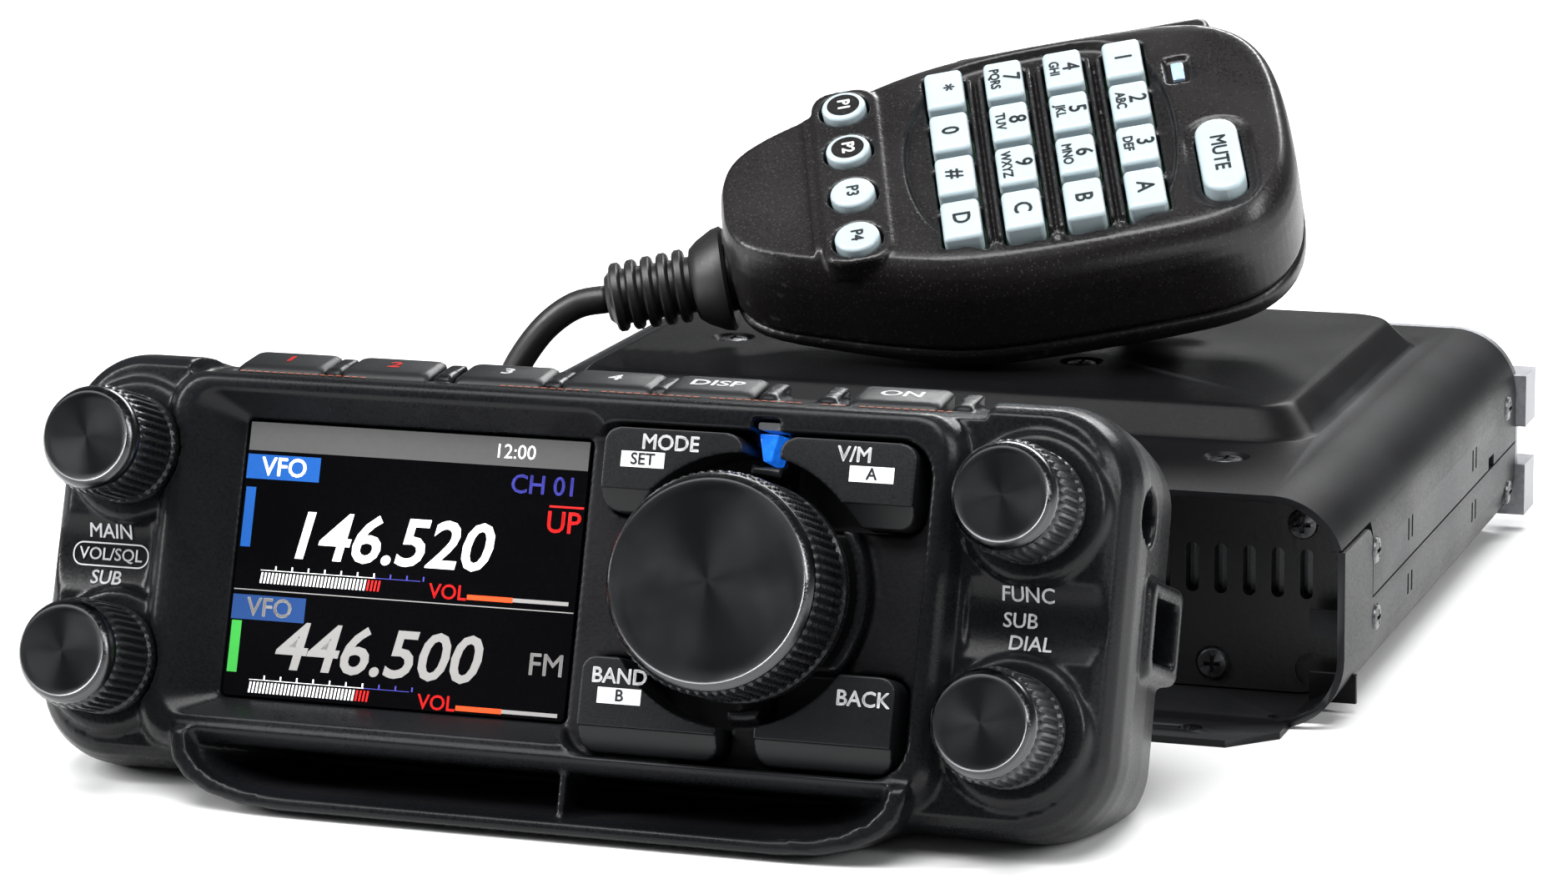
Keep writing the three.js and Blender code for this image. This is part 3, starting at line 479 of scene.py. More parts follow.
# ---- Control panel --------------------------------------------------------------------------
SEAM_N, FRAME_N = -26, 4
KNOB_U, KNOB_V, DIAL_U, DIAL_V = 61.1, 13.8, 25.2, 0.8
KNOBS = {"upper_left": (-KNOB_U, KNOB_V), "lower_left": (-KNOB_U, -KNOB_V),
         "upper_right": (KNOB_U, KNOB_V), "lower_right": (KNOB_U, -KNOB_V)}
FACE_BUTTONS = {"upper_left": (5.8, 24.2, 9.8, 20.3), "upper_right": (29.2, 47, 9.8, 20.3),
                "lower_left": (5.8, 24.2, -20.6, -8.6), "lower_right": (29.2, 47, -20.6, -8.6)}
TOP_BUTTON_U = (-46, -31, -15, 0, 14, 39)
POST_U = (-38.5, -23, -7.5, 7, 22, 30, 48)
TOP_SLOPE = 0.45
TABLE_GAP = 0.6


def below_table(z):
    """Everything under the height z of the surface the set stands on, in the panel's frame."""
    return moved(block(-300, 300, -300, 100, z - 100, z), PANEL.inverted())


def face_button(box, d, n0, n1):
    u0, u1, v0, v1 = box
    return prism(round_rect(u0 - d, u1 + d, v0 - d, v1 + d, 2 + d, 6), n0, n1)


def scoop(width, low, top):
    """A round-ended tray section: flat bottom, large soft corners, open top."""
    side = [(50, 0), (50, 2), (49.3, 4.9), (47.4, 7.5), (44, 9.6), (39.5, 10.9), (34, 11.4)]
    half = [(x * width / 50, top + y * (low - top) / 11.4) for x, y in side]
    return half[::-1] + [(-x, y) for x, y in half]


# Front case: block, raised rim, duct lip, knob saddles and collars, pockets and holes.
housing = stack(*[(round_rect(-73.5 + dw, 73.5 - dw, -27 + dv, 27.5 - dv, 11 - dv, 14), n)
                  for dw, dv, n in ((2.1, 1.2, SEAM_N), (1.5, 0.8, SEAM_N + 0.6), (0.5, 0.3, -17),
                                    (0, 0, -9), (0.2, 0.1, -6), (0.9, 0.5, -3.4),
                                    (1.9, 1.1, -1.4), (3.5, 2.2, 0))])
rim = stack(*[(round_rect(-57.5 + d, 53.5 - d, v0, v1, r, 10), n) for d, v0, v1, r, n in (
    (0, -25.2, 25.4, 6, -1.5), (0.9, -24.7, 25.1, 5.4, 0.3), (1.9, -24, 24.6, 5, 2.6),
    (2.9, -23.4, 24, 4.6, FRAME_N - 0.3), (3.5, -22.9, 23.5, 4.2, FRAME_N))])
window = stack((round_rect(-45.5, 4.5, -17.3, 19, 1, 4), 0),
               (round_rect(-52.5, 5.6, -20.3, 22.4, 3.4, 4), FRAME_N + 0.2))
lip = stack(*[(scoop(width, low, top), n) for width, low, top, n in (
    (49, -29.6, -20, -24), (49, -30.4, -20, -12), (49.6, -30.9, -20, -2),
    (50, -31.4, -20, 2.6), (49.6, -31.4, -22, FRAME_N + 1.0), (49, -31.0, -22.5, FRAME_N + 1.5))])
duct = stack(*[(scoop(width, low, top), n) for width, low, top, n in (
    (37, -24.8, -23.4, -12), (42, -27.6, -23.4, -2), (46.5, -29.4, -23.4, FRAME_N - 1),
    (48.4, -30.1, -19, FRAME_N + 3))])
card_cover = stack(*[(round_rect(-5.5 + d, 7.5 - d, -27.5 + d, -10 - d, 2, 5), u)
                     for d, u in ((0, 71.5), (0.3, 73.9), (1, 74.5))])
collar = [(0, -2), (10.0, -2), (9.8, -0.4), (9.4, 0.7), (8.9, 1.25), (8.3, 1.4), (0, 1.4)]
dial_ring = [(0, -0.5), (16.4, -0.5), (16.4, 1.5), (16.0, 2.2), (15.5, 2.4), (0, 2.4)]
post = [(24, -15.2), (24, -9.2), (26.9, -9.2), (27.3, -9.6), (29.3, -14.4), (29.1, -15.2)]
top_cut = [(27.9, -16.5), (25.9, -7), (24.6, -3.4), (24.6, 3), (40, 3), (40, -16.5)]
steps = [("-", along_x(circle(0, 10.2, 11.4, 96), *ends)) for ends in ((-80, -57.5), (53.5, 80))]
steps += [("+", rim), ("+", lip), ("+", moved(card_cover, SWAP_X)),
          ("-", along_x(round_rect(-3, 5, -24, -13, 0.6, 3), 70, 78))]
steps += [("+", turned(collar, 72, u, v)) for u, v in KNOBS.values()]
steps += [("-", window), ("-", prism(round_rect(2.6, 48.8, -21.2, 20.9, 4.5, 8), 0, 6)),
          ("-", block(-45.5, 2.5, -17.3, 19, -4, 1)), ("-", duct),
          ("-", block(-15, 15, -24.5, -20, -10, -3.2)),
          ("-", along_x(circle(14.5, -10, 3.5, 40), 66, 76)),
          ("+", turned(dial_ring, 96, DIAL_U, DIAL_V)),
          ("-", rod(DIAL_U, DIAL_V, 14.8, -2.2, 3, 96)), ("-", rod(DIAL_U, DIAL_V, 3.6, -7, 3, 24)),
          ("+", stack(*[([(3.5, v), (4.5, v), (4.5, -22.5), (3.5, -22.5)], n)
                        for v, n in ((-27, -9), (-29.5, FRAME_N - 1))]))]
for u, v in KNOBS.values():
    steps += [("-", rod(u, v, 3.3, -7, 3, 24)), ("-", rod(u, v, 8, 1.35, 8, 60))]
steps += [("-", face_button(box, 0.4, -4.5, 8)) for box in FACE_BUTTONS.values()]
steps += [("-", block(u - 6.6, u + 6.6, 21.6, 30, -15.9, -8.1)) for u in TOP_BUTTON_U]
# The top edge slopes towards the front between the knobs, with posts between its buttons.
steps += [("-", along_x(top_cut, -55, 54))]
steps += [("+", along_x(post, u - 1.2, u + 1.2)) for u in POST_U]
steps += [("-", block(24.7, 28.5, 16.7, 22.6, -4, 6)), ("-", below_table(TABLE_GAP)),
          ("-", block(-90, 90, -45, 45, SEAM_N - 20, SEAM_N))]
bezel = softened(carve(housing, steps, PANEL), 0.38, 4)
piece(bezel, "panel_housing", "panel", PANEL_GREY, ["panel_bezel"], 60)

# The duct and the floor of the button pocket take a darker, rougher black than the housing: painted
# shade in these recesses.
bezel.data.materials.append(SPEAKER_BLACK_AND_RECESS_SHADE)
to_panel = PANEL.inverted()
for face in bezel.data.polygons:
    u, v, n = to_panel @ (face.center / MM)
    in_duct = -29.2 < v < -23 and abs(u) < 41 and n < 1.5
    in_pocket = 2.8 < u < 48.6 and -21 < v < 20.7 and n < 0.4
    if in_duct or in_pocket:
        face.material_index = 1

# Rear pan: slots, screw recesses, and the lugs and pins that sit in the tilt bracket.
pan_shape = stack((round_rect(-66, 66, -22, 22.5, 8, 8), SEAM_N - 5),
                  (round_rect(-67.4, 67.4, -23.2, 23.8, 8, 8), SEAM_N - 4.6),
                  (round_rect(-71.5, 71.5, -25.5, 26.2, 9, 8), SEAM_N - 0.3))
pan_steps = [("-", prism(round_rect(-60 + 8 * i, -56.5 + 8 * i, -4, 12, 1.7, 5),
                         SEAM_N - 7, SEAM_N - 3)) for i in (0, 1, 2, 12, 13, 14)]
pan_steps += [("-", rod(u, v, 2.6, SEAM_N - 7, SEAM_N - 3.4, 32))
              for u in (-60, 60) for v in (-16, 18)]
pan_steps.append(("-", below_table(TABLE_GAP)))
hinge = to_panel @ Vector((-17.93, -88, 12))
LUG_R = 4.5
lug = ([(hinge.y - LUG_R, SEAM_N - 4)]
       + [(hinge.y + LUG_R * math.cos(rad(a)), hinge.z + LUG_R * math.sin(rad(a)))
          for a in range(180, 361, 10)] + [(hinge.y + LUG_R, SEAM_N - 4)])
pan_steps += [("+", along_x(lug, u, u + 5.2)) for u in (-22.2, 17)]
pan_steps += [("+", along_x(circle(hinge.y, hinge.z, 2, 32), u, u + 5.3)) for u in (-24.8, 19.5)]
piece(softened(carve(pan_shape, pan_steps, PANEL), 0.45, 2), "panel_rear_cover", "panel",
      PANEL_GREY, ["panel_back"], 60)


def screw(name, body, place, radius):
    """A cross-recessed head that stands on the plane z = 0 of its place."""
    reach, half_width = radius * 0.55, 0.28
    head = turned([(0, -0.6), (radius, -0.6), (radius, 0.25), (radius * 0.9, 0.5),
                   (radius * 0.5, 0.68), (0, 0.72)], 36)
    cross = [("-", block(-reach, reach, -half_width, half_width, 0.15, 2)),
             ("-", block(-half_width, half_width, -reach, reach, 0.15, 2))]
    return piece(carve(head, cross, place), name, body, SCREW)


def turned_uv(o, place, cx, cy):
    """Coordinates round the axis and along the section, for turned metal."""
    inverse = place.inverted()
    layer = o.data.uv_layers.new(name="turned")
    local = [inverse @ (v.co / MM) for v in o.data.vertices]
    for face in o.data.polygons:
        middle = sum((local[i] for i in face.vertices), Vector()) / len(face.vertices)
        centre = math.atan2(middle.y - cy, middle.x - cx)
        for k in face.loop_indices:
            p = local[o.data.loops[k].vertex_index]
            r = math.hypot(p.x - cx, p.y - cy)
            a = math.atan2(p.y - cy, p.x - cx) if r > 0.01 else centre
            a = centre + (a - centre + math.pi) % (2 * math.pi) - math.pi
            layer.data[k].uv = (a / (2 * math.pi), (r + p.z) / 20)


def control(name, u, v, radius, face_n, teeth, rows, low, high):
    """A turned control: stub, skirt knurled from low to high, bright chamfer and spun face."""
    sides = teeth * 6
    skirt = np.linspace(low, high, rows)
    start = [(0, -5.8), (2.8, -5.8), (2.8, 1.8), (radius - 0.5, 1.8), (radius, 2.3),
             (radius, low - 0.4)]
    cap = [(radius - 0.55, high + 0.25), (radius - 0.5, high + 0.7), (radius - 0.55, face_n - 1.2),
           (radius - 1.0, face_n - 0.35), (radius - 1.35, face_n)]
    face = [(r, face_n - 0.12) for r in np.linspace(radius - 1.6, 0.4, 8)] + [(0, face_n - 0.12)]
    points, faces = turned(start + [(radius - 0.3, z) for z in skirt] + cap + face, sides, u, v)
    first = len(start) - 1
    for k, z in enumerate(skirt):
        edge = min(1, (k + 0.5) / 2, (rows - 0.5 - k) / 2)
        across = 1.0
        if name == "main_dial":
            across = 0.35 + 0.65 * abs(math.sin(math.pi * (z - low) / 1.15))
        for i in range(sides):
            tooth = 0.5 - 0.5 * math.cos(2 * math.pi * i / 6)
            r = radius - 0.42 + 0.42 * min(1, tooth * 1.3) * across * edge
            a = 2 * math.pi * i / sides
            points[(first + k) * sides + i] = (u + r * math.cos(a), v + r * math.sin(a), z)
    made = raw((points, faces), PANEL, name)
    turned_uv(made, PANEL, u, v)
    piece(made, name, "b_" + name, None, [name], 40)
    made.data.materials.append(KNURL)
    made.data.materials.append(SPUN)
    for polygon in made.data.polygons:
        if (to_panel @ (polygon.center / MM)).z > high + 0.2:
            polygon.material_index = 1


control("main_dial", DIAL_U, DIAL_V, 14.0, 16, 72, 40, 4.2, 14.0)
for name, (u, v) in KNOBS.items():
    control("knob_" + name, u, v, 7.2, 15, 40, 12, 4.0, 12.6)

# Face buttons: a flat upper facet, then a slope towards the lower edge, cut back round the dial.
for name, box in FACE_BUTTONS.items():
    u0, u1, v0, v1 = box
    crease = v0 + (3.4 if name.startswith("lower") else 3.0)
    cuts = [("-", moved(block(u0 - 5, u1 + 5, -12, 0, 0, 8), placed(0, crease, 4.55, 32))),
            ("-", rod(DIAL_U, DIAL_V, 17.2, -4, 8, 96))]
    button = softened(carve(face_button(box, 0, -2.8, 4.9), cuts, PANEL), 0.2, 4)
    piece(button, "button_" + name, "b_button_" + name, RUBBER,
          ["button_" + name], 60)

# Top buttons, drawn in u and -n, then stood up along v.
UPRIGHT = Matrix(((1, 0, 0, 0), (0, 0, 1, 0), (0, -1, 0, 0), (0, 0, 0, 1)))
for i, u in enumerate(TOP_BUTTON_U):
    rings = [[(x, y, 26.05 + (y - 8.5) * TOP_SLOPE + z)
              for x, y in round_rect(u - 6.25 + d, u + 6.25 - d, 8.5 + d, 15.5 - d, 1.1, 5)]
             for d, z in ((0, 0), (0.12, 0.35), (0.5, 0.7), (1.1, 0.85))]
    foot = [(x, y, 23.2) for x, y, z in rings[0]]
    shape = stack(*[(ring, 0) for ring in [foot] + rings])
    name = f"top_button_{i + 1}"
    piece(raw(moved(shape, UPRIGHT), PANEL), name, "b_" + name, RUBBER, [name], 50)

guide = raw(stack(*[([(25.95 + d, 17.2 + d), (27.25 - d, 17.2 + d), (28.05 - d, 20.9 - d),
                      (25.15 + d, 20.9 - d)], n) for d, n in ((0, -3.2), (0.1, 1.9))]), PANEL)
BLUE_LIGHT = material("blue_light", (0.01, 0.16, 0.9), 0.25, grain=900.0, vary=0.35, glow=0.7)
piece(bevelled(guide, 0.25), "dial_light", "panel", BLUE_LIGHT,
      ["dial_light_guide"])
tab = raw(prism(round_rect(25.1, 28.1, 21.3, 22.2, 0.3, 4), -2, 2.1), PANEL)
piece(tab, "dial_light_tab", "panel", GREY_PRINT)


# ---- Letters and printed shapes ---------------------------------------------------------------
def lettering(text, place, size, look, bold=0.0, slant=0.0, wide=1.0):
    """Flat letters centred on the plane z = 0 of their place, in millimetres."""
    curve = bpy.data.curves.new("letters", "FONT")
    curve.body, curve.size, curve.shear = text, size, slant
    curve.align_x, curve.align_y = "CENTER", "CENTER"
    curve.offset = bold if bold > 0.1 else 0.0
    curve.resolution_u = 3
    made = bpy.data.objects.new("letters", curve)
    bpy.context.scene.collection.objects.link(made)
    mesh = bpy.data.meshes.new_from_object(
        made.evaluated_get(bpy.context.evaluated_depsgraph_get()))
    bpy.data.objects.remove(made)
    points = [v.co.copy() for v in mesh.vertices]
    faces = [tuple(p.vertices) for p in mesh.polygons]
    bpy.data.meshes.remove(mesh)
    # Thin strokes are thickened by laying the letters down four times, a little apart.
    shifts = ((0, 0),)
    if 0 < bold <= 0.1:
        shifts = ((bold, 0), (-bold, 0), (0, bold), (0, -bold))
    spread = place @ Matrix.Diagonal((wide, 1, 1, 1))
    flat = raw(joined(*[([tuple(spread @ (p + Vector((dx, dy, 0)))) for p in points], faces)
                        for dx, dy in shifts]), BODY, "letters")
    flat.data.materials.append(look)
    return flat


def patch(points, look, place=PANEL):
    """A flat printed shape through (x, y, z) points."""
    flat = raw((points, [tuple(range(len(points)))]), place, "patch")
    flat.data.materials.append(look)
    return flat


def bar(u0, u1, v0, v1, look, n=-0.07, place=PANEL):
    return patch([(u0, v0, n), (u1, v0, n), (u1, v1, n), (u0, v1, n)], look, place)


def word(text, u, v, size, look, n=-0.05, **style):
    """Letters on a plane of the panel."""
    return lettering(text, placed(u, v, n, 0, "X", PANEL), size, look, **style)


# ---- Screen ---------------------------------------------------------------------------------
def lit(name, colour, glow=0.55):
    return material("screen_" + name, colour, 0.3, grain=900.0, depth=0.0, vary=0.02,
                    specular=0.05, glow=glow)


SCREEN_LEFT, SCREEN_RIGHT = -45.1, 2.1
glass = raw(prism(round_rect(-45.2, 2.2, -17, 18.7, 0.6, 4), -5, -0.1), PANEL)
SCREEN_BLACK = material("display_black", (0.0015, 0.0015, 0.002), 0.14, depth=0.0, specular=0.12)
piece(glass, "display", "panel", SCREEN_BLACK, ["display_module"])
WHITE, GREY = lit("white", (0.9, 0.9, 0.9), 0.8), lit("grey", (0.24, 0.235, 0.23), 0.5)
DIM, BLUE = lit("status", (0.08, 0.08, 0.08), 0.4), lit("blue", (0.015, 0.085, 0.32), 0.4)
GREEN, RED = lit("green", (0.04, 0.3, 0.05), 0.5), lit("red", (0.6, 0.02, 0.02))
NAVY, VIOLET = lit("navy", (0.018, 0.05, 0.16), 0.4), lit("violet", (0.06, 0.06, 0.33))
AMBER = lit("amber", (0.65, 0.07, 0.02))


def band_picture(box_top, box, digits, look, digits_v, stripe, stripe_v, meter_v):
    """One of the two receivers on the screen: its box, digits, stripe, meter and volume."""
    shown = [bar(SCREEN_LEFT, -34.8, box_top - 3.2, box_top, box),
             word("VFO", -39.8, box_top - 1.65, 3.4, look, bold=0.05),
             word(digits, -24.4, digits_v, 8.6, look, bold=0.14, slant=0.2, wide=1.03),
             bar(-44.9, -43.5, *stripe_v, stripe)]
    for i in range(34):
        u = -41.6 + i * 0.5
        slanted = [(u, 0), (u + 0.26, 0), (u + 0.42, 1.4), (u + 0.16, 1.4)]
        shown.append(patch([(x, meter_v + y, -0.06) for x, y in slanted], RED if i > 29 else WHITE))
    shown += [bar(-41.6, -25.5, meter_v + 1.65, meter_v + 1.73, WHITE),
              bar(-25.5, -19.2, meter_v + 1.65, meter_v + 1.73, VIOLET)]
    for i in range(10):
        u = -39.6 + i * 2.3
        shown.append(bar(u, u + 0.2, meter_v + 1.7, meter_v + 2.3, WHITE if i < 7 else VIOLET))
    return shown + [word("VOL", -15.3, meter_v + 0.5, 2.7, RED, bold=0.03),
                    bar(-12.6, -6.3, meter_v - 0.2, meter_v + 0.45, AMBER),
                    bar(-6.3, 1.3, meter_v - 0.1, meter_v + 0.4, GREY)]


shown = [bar(SCREEN_LEFT, SCREEN_RIGHT, 14.9, 18.6, DIM), word("12:00", -8, 16.7, 2.6, WHITE)]
shown += band_picture(14.4, BLUE, "146.520", WHITE, 3.9, BLUE, (2.3, 10.1), -2.3)
shown += band_picture(-3.9, NAVY, "446.500", GREY, -10.5, GREEN, (-14.0, -7.3), -16.5)
shown += [bar(SCREEN_LEFT, SCREEN_RIGHT, -3.3, -3.17, GREY),
          bar(-2.6, SCREEN_RIGHT, 10.0, 10.25, RED),
          word("CH 01", -3.6, 12.6, 3.4, VIOLET, bold=0.03), word("UP", -0.5, 8.0, 3.9, RED, bold=0.04),
          word("FM", -0.9, -10.2, 4.0, GREY, bold=0.03)]
piece(merged(shown), "display_picture", "panel", None)

# ---- Printed words on the case and buttons ------------------------------------------------------
surface = BVHTree.FromPolygons([v.co for v in bezel.data.vertices],
                               [tuple(p.vertices) for p in bezel.data.polygons])
OUT = (PANEL.to_3x3() @ Vector((0, 0, 1))).normalized()


def laid_on(o, lift=0.1):
    """Lowers flat print onto the housing."""
    for v in o.data.vertices:
        hit = surface.ray_cast(v.co + OUT * 0.004, -OUT, 0.012)[0]
        if hit is not None:
            v.co = hit + OUT * lift * MM
    return o


words = [word(text, u, v, 2.6, GREY_PRINT, 0.03, bold=0.03) for text, u, v in (
    ("MAIN", -63.8, 3.0), ("SUB", -63.8, -3.1), ("FUNC", 61.2, 3.1), ("SUB", 60.4, -0.1),
    ("DIAL", 62.0, -2.9))]
words.append(word("VOL/SQL", -63.7, 0, 2.3, GREY_PRINT, 0.03, bold=0.02))
outer = round_rect(-69.2, -58.2, -1.6, 1.6, 1.5, 6)
inner = round_rect(-69.0, -58.4, -1.4, 1.4, 1.3, 6)
count = len(outer)
oval = raw(([(u, v, 0.03) for u, v in outer + inner],
            [(i, (i + 1) % count, count + (i + 1) % count, count + i) for i in range(count)]), PANEL)
oval.data.materials.append(GREY_PRINT)
piece(laid_on(merged(words + [oval])), "housing_print", "panel", None)

for name, text, u, v, tag, tag_u, tag_v in (
        ("upper_left", "MODE", 14.7, 18.5, "SET", 11.2, 16.3),
        ("upper_right", "V/M", 39.0, 18.5, "A", 41.4, 16.2),
        ("lower_left", "BAND", 11.0, -11.1, "B", 11.2, -13.5),
        ("lower_right", "BACK", 43.0, -11.6, "", 0, 0)):
    label = [word(text, u, v, 2.7, WHITE_PRINT, 4.95, bold=0.05)]
    if tag:
        label += [bar(tag_u - 2.9, tag_u + 2.9, tag_v - 1.0, tag_v + 1.0, WHITE_PRINT, 4.94),
                  word(tag, tag_u, tag_v, 2.1, DARK_PRINT, 4.99, bold=0.04)]
    piece(merged(label), "label_" + name, "b_button_" + name, None)

top_plane = placed(0, 28.54, -12, -90 + 24.23, "X", PANEL)
for i, (u, text, look) in enumerate(zip(TOP_BUTTON_U, ("1", "2", "3", "4", "DISP", "ON"),
                                        [RED_PRINT] * 2 + [WHITE_PRINT] * 4)):
    mark = lettering(text, top_plane @ Matrix.Translation((u, 0, 0)), 3.1, look, 0.06, wide=1.2)
    piece(mark, f"top_mark_{i + 1}", f"b_top_button_{i + 1}", None)
edge_plane = placed(0, 26.02, -7.3, -90 + 11.9, "X", PANEL)
dashes = []
for u0, u1 in ((-51, -33), (-14, -2), (0, 13), (15, 27), (30, 33), (35, 47)):
    dashes += [bar(u, u + 0.75, -0.3, 0.3, ORANGE_PRINT, 0.06, edge_plane)
               for u in np.arange(u0, u1, 1.15)]
piece(merged(dashes), "orange_marks", "panel", None)

# ---- Rear cover's screws ---------------------------------------------------------------------
for i, (u, v) in enumerate(((-60, -16), (60, -16), (-60, 18), (60, 18))):
    screw(f"rear_cover_screw_{i + 1}", "panel", placed(u, v, SEAM_N - 3.6, 180, "X", PANEL), 2.2)

# ---- Hand microphone ------------------------------------------------------------------------
MIC_HALF = [(36, 0), (35.8, 9), (34.4, 16.5), (31, 22.2), (25.5, 25.8), (16, 27), (-8, 27),
            (-18, 25.4), (-28, 21.4), (-35, 18.2), (-43, 14.4), (-47.4, 10.4), (-49, 5), (-49, 0)]
MIC_MIDDLE_X, MIC_SEAM = -6.5, -15
KEYS = (("1", "2", "3", "a"), ("4", "5", "6", "b"), ("7", "8", "9", "c"), ("star", "0", "hash", "d"))
KEY_TEXT = {"2": "ABC", "3": "DEF", "4": "GHI", "5": "JKL", "6": "MNO", "7": "PQRS", "8": "TUV",
            "9": "WXYZ"}
KEY_PITCH_X, KEY_PITCH_Y, P_KEY_X = 8.93, 10.27, -28.6


def closed_curve(points, count=160):
    """A rounded closed outline through corner points, evenly spaced."""
    p = np.array(points, float)
    for _ in range(4):
        following = np.roll(p, -1, axis=0)
        p = np.stack([0.75 * p + 0.25 * following, 0.25 * p + 0.75 * following],
                     axis=1).reshape(-1, 2)
    loop = np.vstack([p, p[:1]])
    along = np.concatenate([[0], np.cumsum(np.linalg.norm(np.diff(loop, axis=0), axis=1))])
    even = np.linspace(0, along[-1], count, endpoint=False)
    return np.stack([np.interp(even, along, loop[:, k]) for k in range(2)], axis=1)


MIC_LOOP = closed_curve(MIC_HALF + [(x, -y) for x, y in MIC_HALF[1:-1][::-1]])


def mic_outline(sx, sy):
    return [(MIC_MIDDLE_X + (x - MIC_MIDDLE_X) * sx, y * sy) for x, y in MIC_LOOP]


def back_level(sx, sy, z):
    """An outline of the back shell, which is less deep towards the cord."""
    points = []
    for x, y in mic_outline(sx, sy):
        deep = min(max(1 + (x + 14) * 0.014, 0.6), 1)
        points.append((x, y, MIC_SEAM - 0.3 + (z - MIC_SEAM + 0.3) * deep))
    return points, 0


def key_at(row, column):
    return (1.5 - row) * KEY_PITCH_X, (1.5 - column) * KEY_PITCH_Y


# Front shell. The keypad lies in a shallow field whose cord end is a deep crescent.
front = stack(*[(mic_outline(sx, sy), z) for sx, sy, z in (
    (0.99, 0.985, MIC_SEAM), (1, 1, MIC_SEAM + 0.6), (1, 1, -8), (0.998, 0.993, -5.5),
    (0.992, 0.975, -3.7), (0.985, 0.955, -2.4), (0.973, 0.92, -1.1), (0.955, 0.875, -0.15),
    (0.93, 0.83, 0))])
field = closed_curve([(19.5, -23.2), (-9, -23.2), (-15, -19.5), (-19.6, -12), (-21.4, 0),
                      (-19.6, 12), (-15, 19.5), (-9, 23.2), (19.5, 23.2)], 120)
# Neck facets on either side of the badge plate, and the plate with the round keys.
facets = stack(*[([(-52, -18), (x, -22), (x, 22), (-52, 18)], z)
                 for x, z in ((-35.2, -0.9), (-34.6, 2))])
plate = stack(*[(round_rect(-33.6 + d, -23.6 - d, -20.2 + d, 20.2 - d, 3.4 - d, 8), z)
                for d, z in ((0, -3), (0, 0.35), (0.4, 0.6))])
cord_hole = ("-", along_x(circle(0, MIC_SEAM, 5.3, 40), -52, -46))
face_steps = [("-", stack((field * np.array((0.975, 0.95)), -1.3), (field, 0.6))),
              ("-", facets), ("+", plate)]
# Two ridges and a pip between the rows of keys.
for row in range(3):
    x = key_at(row, 0)[0] - KEY_PITCH_X / 2
    face_steps += [("+", stack(*[(round_rect(x + dx - half, x + dx + half, y0, y1, r, 4), z)
                                 for half, y0, y1, r, z in ((0.45, -19.5, 18.8, 0.4, -2),
                                                            (0.3, -19.3, 18.6, 0.3, 0.05))]))
                   for dx in (-0.75, 0.75)]
    face_steps.append(("+", turned([(0, -2), (0.9, -2), (0.9, -0.3), (0.5, 0.05), (0, 0.15)],
                                   20, x, -21.2)))
for row in range(4):
    for column in range(4):
        x, y = key_at(row, column)
        face_steps.append(("-", prism(round_rect(x - 3.3, x + 3.3, y - 4.8, y + 4.8, 0.9, 4),
                                      -5, 1)))
face_steps += [("-", rod(P_KEY_X, key_at(0, column)[1], 3.8, -5, 2, 40)) for column in range(4)]
# The mute key's dish and hole, the lamp's pocket, the holes over the capsule, the talk bar.
face_steps += [("-", stack((round_rect(20.2, 29.4, -20.8, -1, 4.4, 10), -0.5),
                           (round_rect(19.2, 30.4, -21.8, 0, 5.2, 10), 0.5))),
               ("-", prism(round_rect(21.4, 28.2, -19.4, -2.4, 3.3, 8), -5, 1)),
               ("-", stack((round_rect(19.2, 23.0, 9.0, 14.8, 0.8, 4), -0.8),
                           (round_rect(18.8, 23.4, 8.6, 15.2, 1.2, 4), 0.4)))]
face_steps += [("-", rod(26 + dx, 5.6 + dy, 0.36, -3, 1, 12))
               for dx, dy in ((-0.8, -0.7), (0, -0.7), (0.8, -0.7), (-0.4, 0.3), (0.4, 0.3))]
face_steps += [("-", block(-12.8, 27.7, 21.2, 31, -12.5, -3.6)), cord_hole]
piece(softened(carve(front, face_steps, MIC), 0.36, 3), "mic_face", "microphone", MIC_BLACK,
      ["mic_front_shell"], 60)

# Back shell with its hang-up button and two screws.
rear = stack(*[back_level(*level) for level in (
    (0.79, 0.36, -27), (0.82, 0.4, -26.9), (0.87, 0.55, -25.5), (0.93, 0.72, -23),
    (0.97, 0.87, -20.6), (1, 0.985, -18.2), (1, 1, -16), (0.99, 0.985, MIC_SEAM - 0.25))])
hanger = turned([(0, -34.3), (6.4, -34.3), (7.4, -34), (8, -33.3), (8, -31.9), (7.3, -31.4),
                 (5, -31), (5, -25), (0, -25)], 48, 12, 0)
rear_steps = [("+", hanger), cord_hole, ("-", rod(-22, 0, 2.6, -30, -22.2, 32)),
              ("-", rod(29, 0, 1.9, -30, -24, 32))]
piece(softened(carve(rear, rear_steps, MIC), 0.4, 3), "mic_rear", "microphone", MIC_BLACK,
      ["mic_back_shell"], 60)
for i, (x, z, radius) in enumerate(((-22, -22.6, 2.2), (29, -24.4, 1.6))):
    screw(f"mic_screw_{i + 1}", "microphone", placed(x, 0, z, 180, "X", MIC), radius)

# Strain relief: smooth collar, then ribs that shrink a little towards the cord.
boot_profile = [(0, 46.5), (5, 46.5), (5, 49.4), (7.4, 49.4), (7.9, 49.9), (7.6, 51.2),
                (6.3, 53.6), (5.3, 54.8), (4.2, 55.1)]
for i, x in enumerate(np.arange(55.9, 67, 2.4)):
    r = 5.5 - 0.08 * i
    boot_profile += [(4.2, x - 0.1), (r - 0.35, x), (r, x + 0.35), (r, x + 1.2),
                     (r - 0.35, x + 1.55), (4.1, x + 1.7)]
boot_profile += [(3.7, 67.6), (3.3, 68), (0, 68)]
boot = raw(turned(boot_profile, 48), placed(0, 0, MIC_SEAM, -90, "Y", MIC))
piece(boot, "mic_strain_relief", "microphone", CORD, ["mic_boot"], 40)

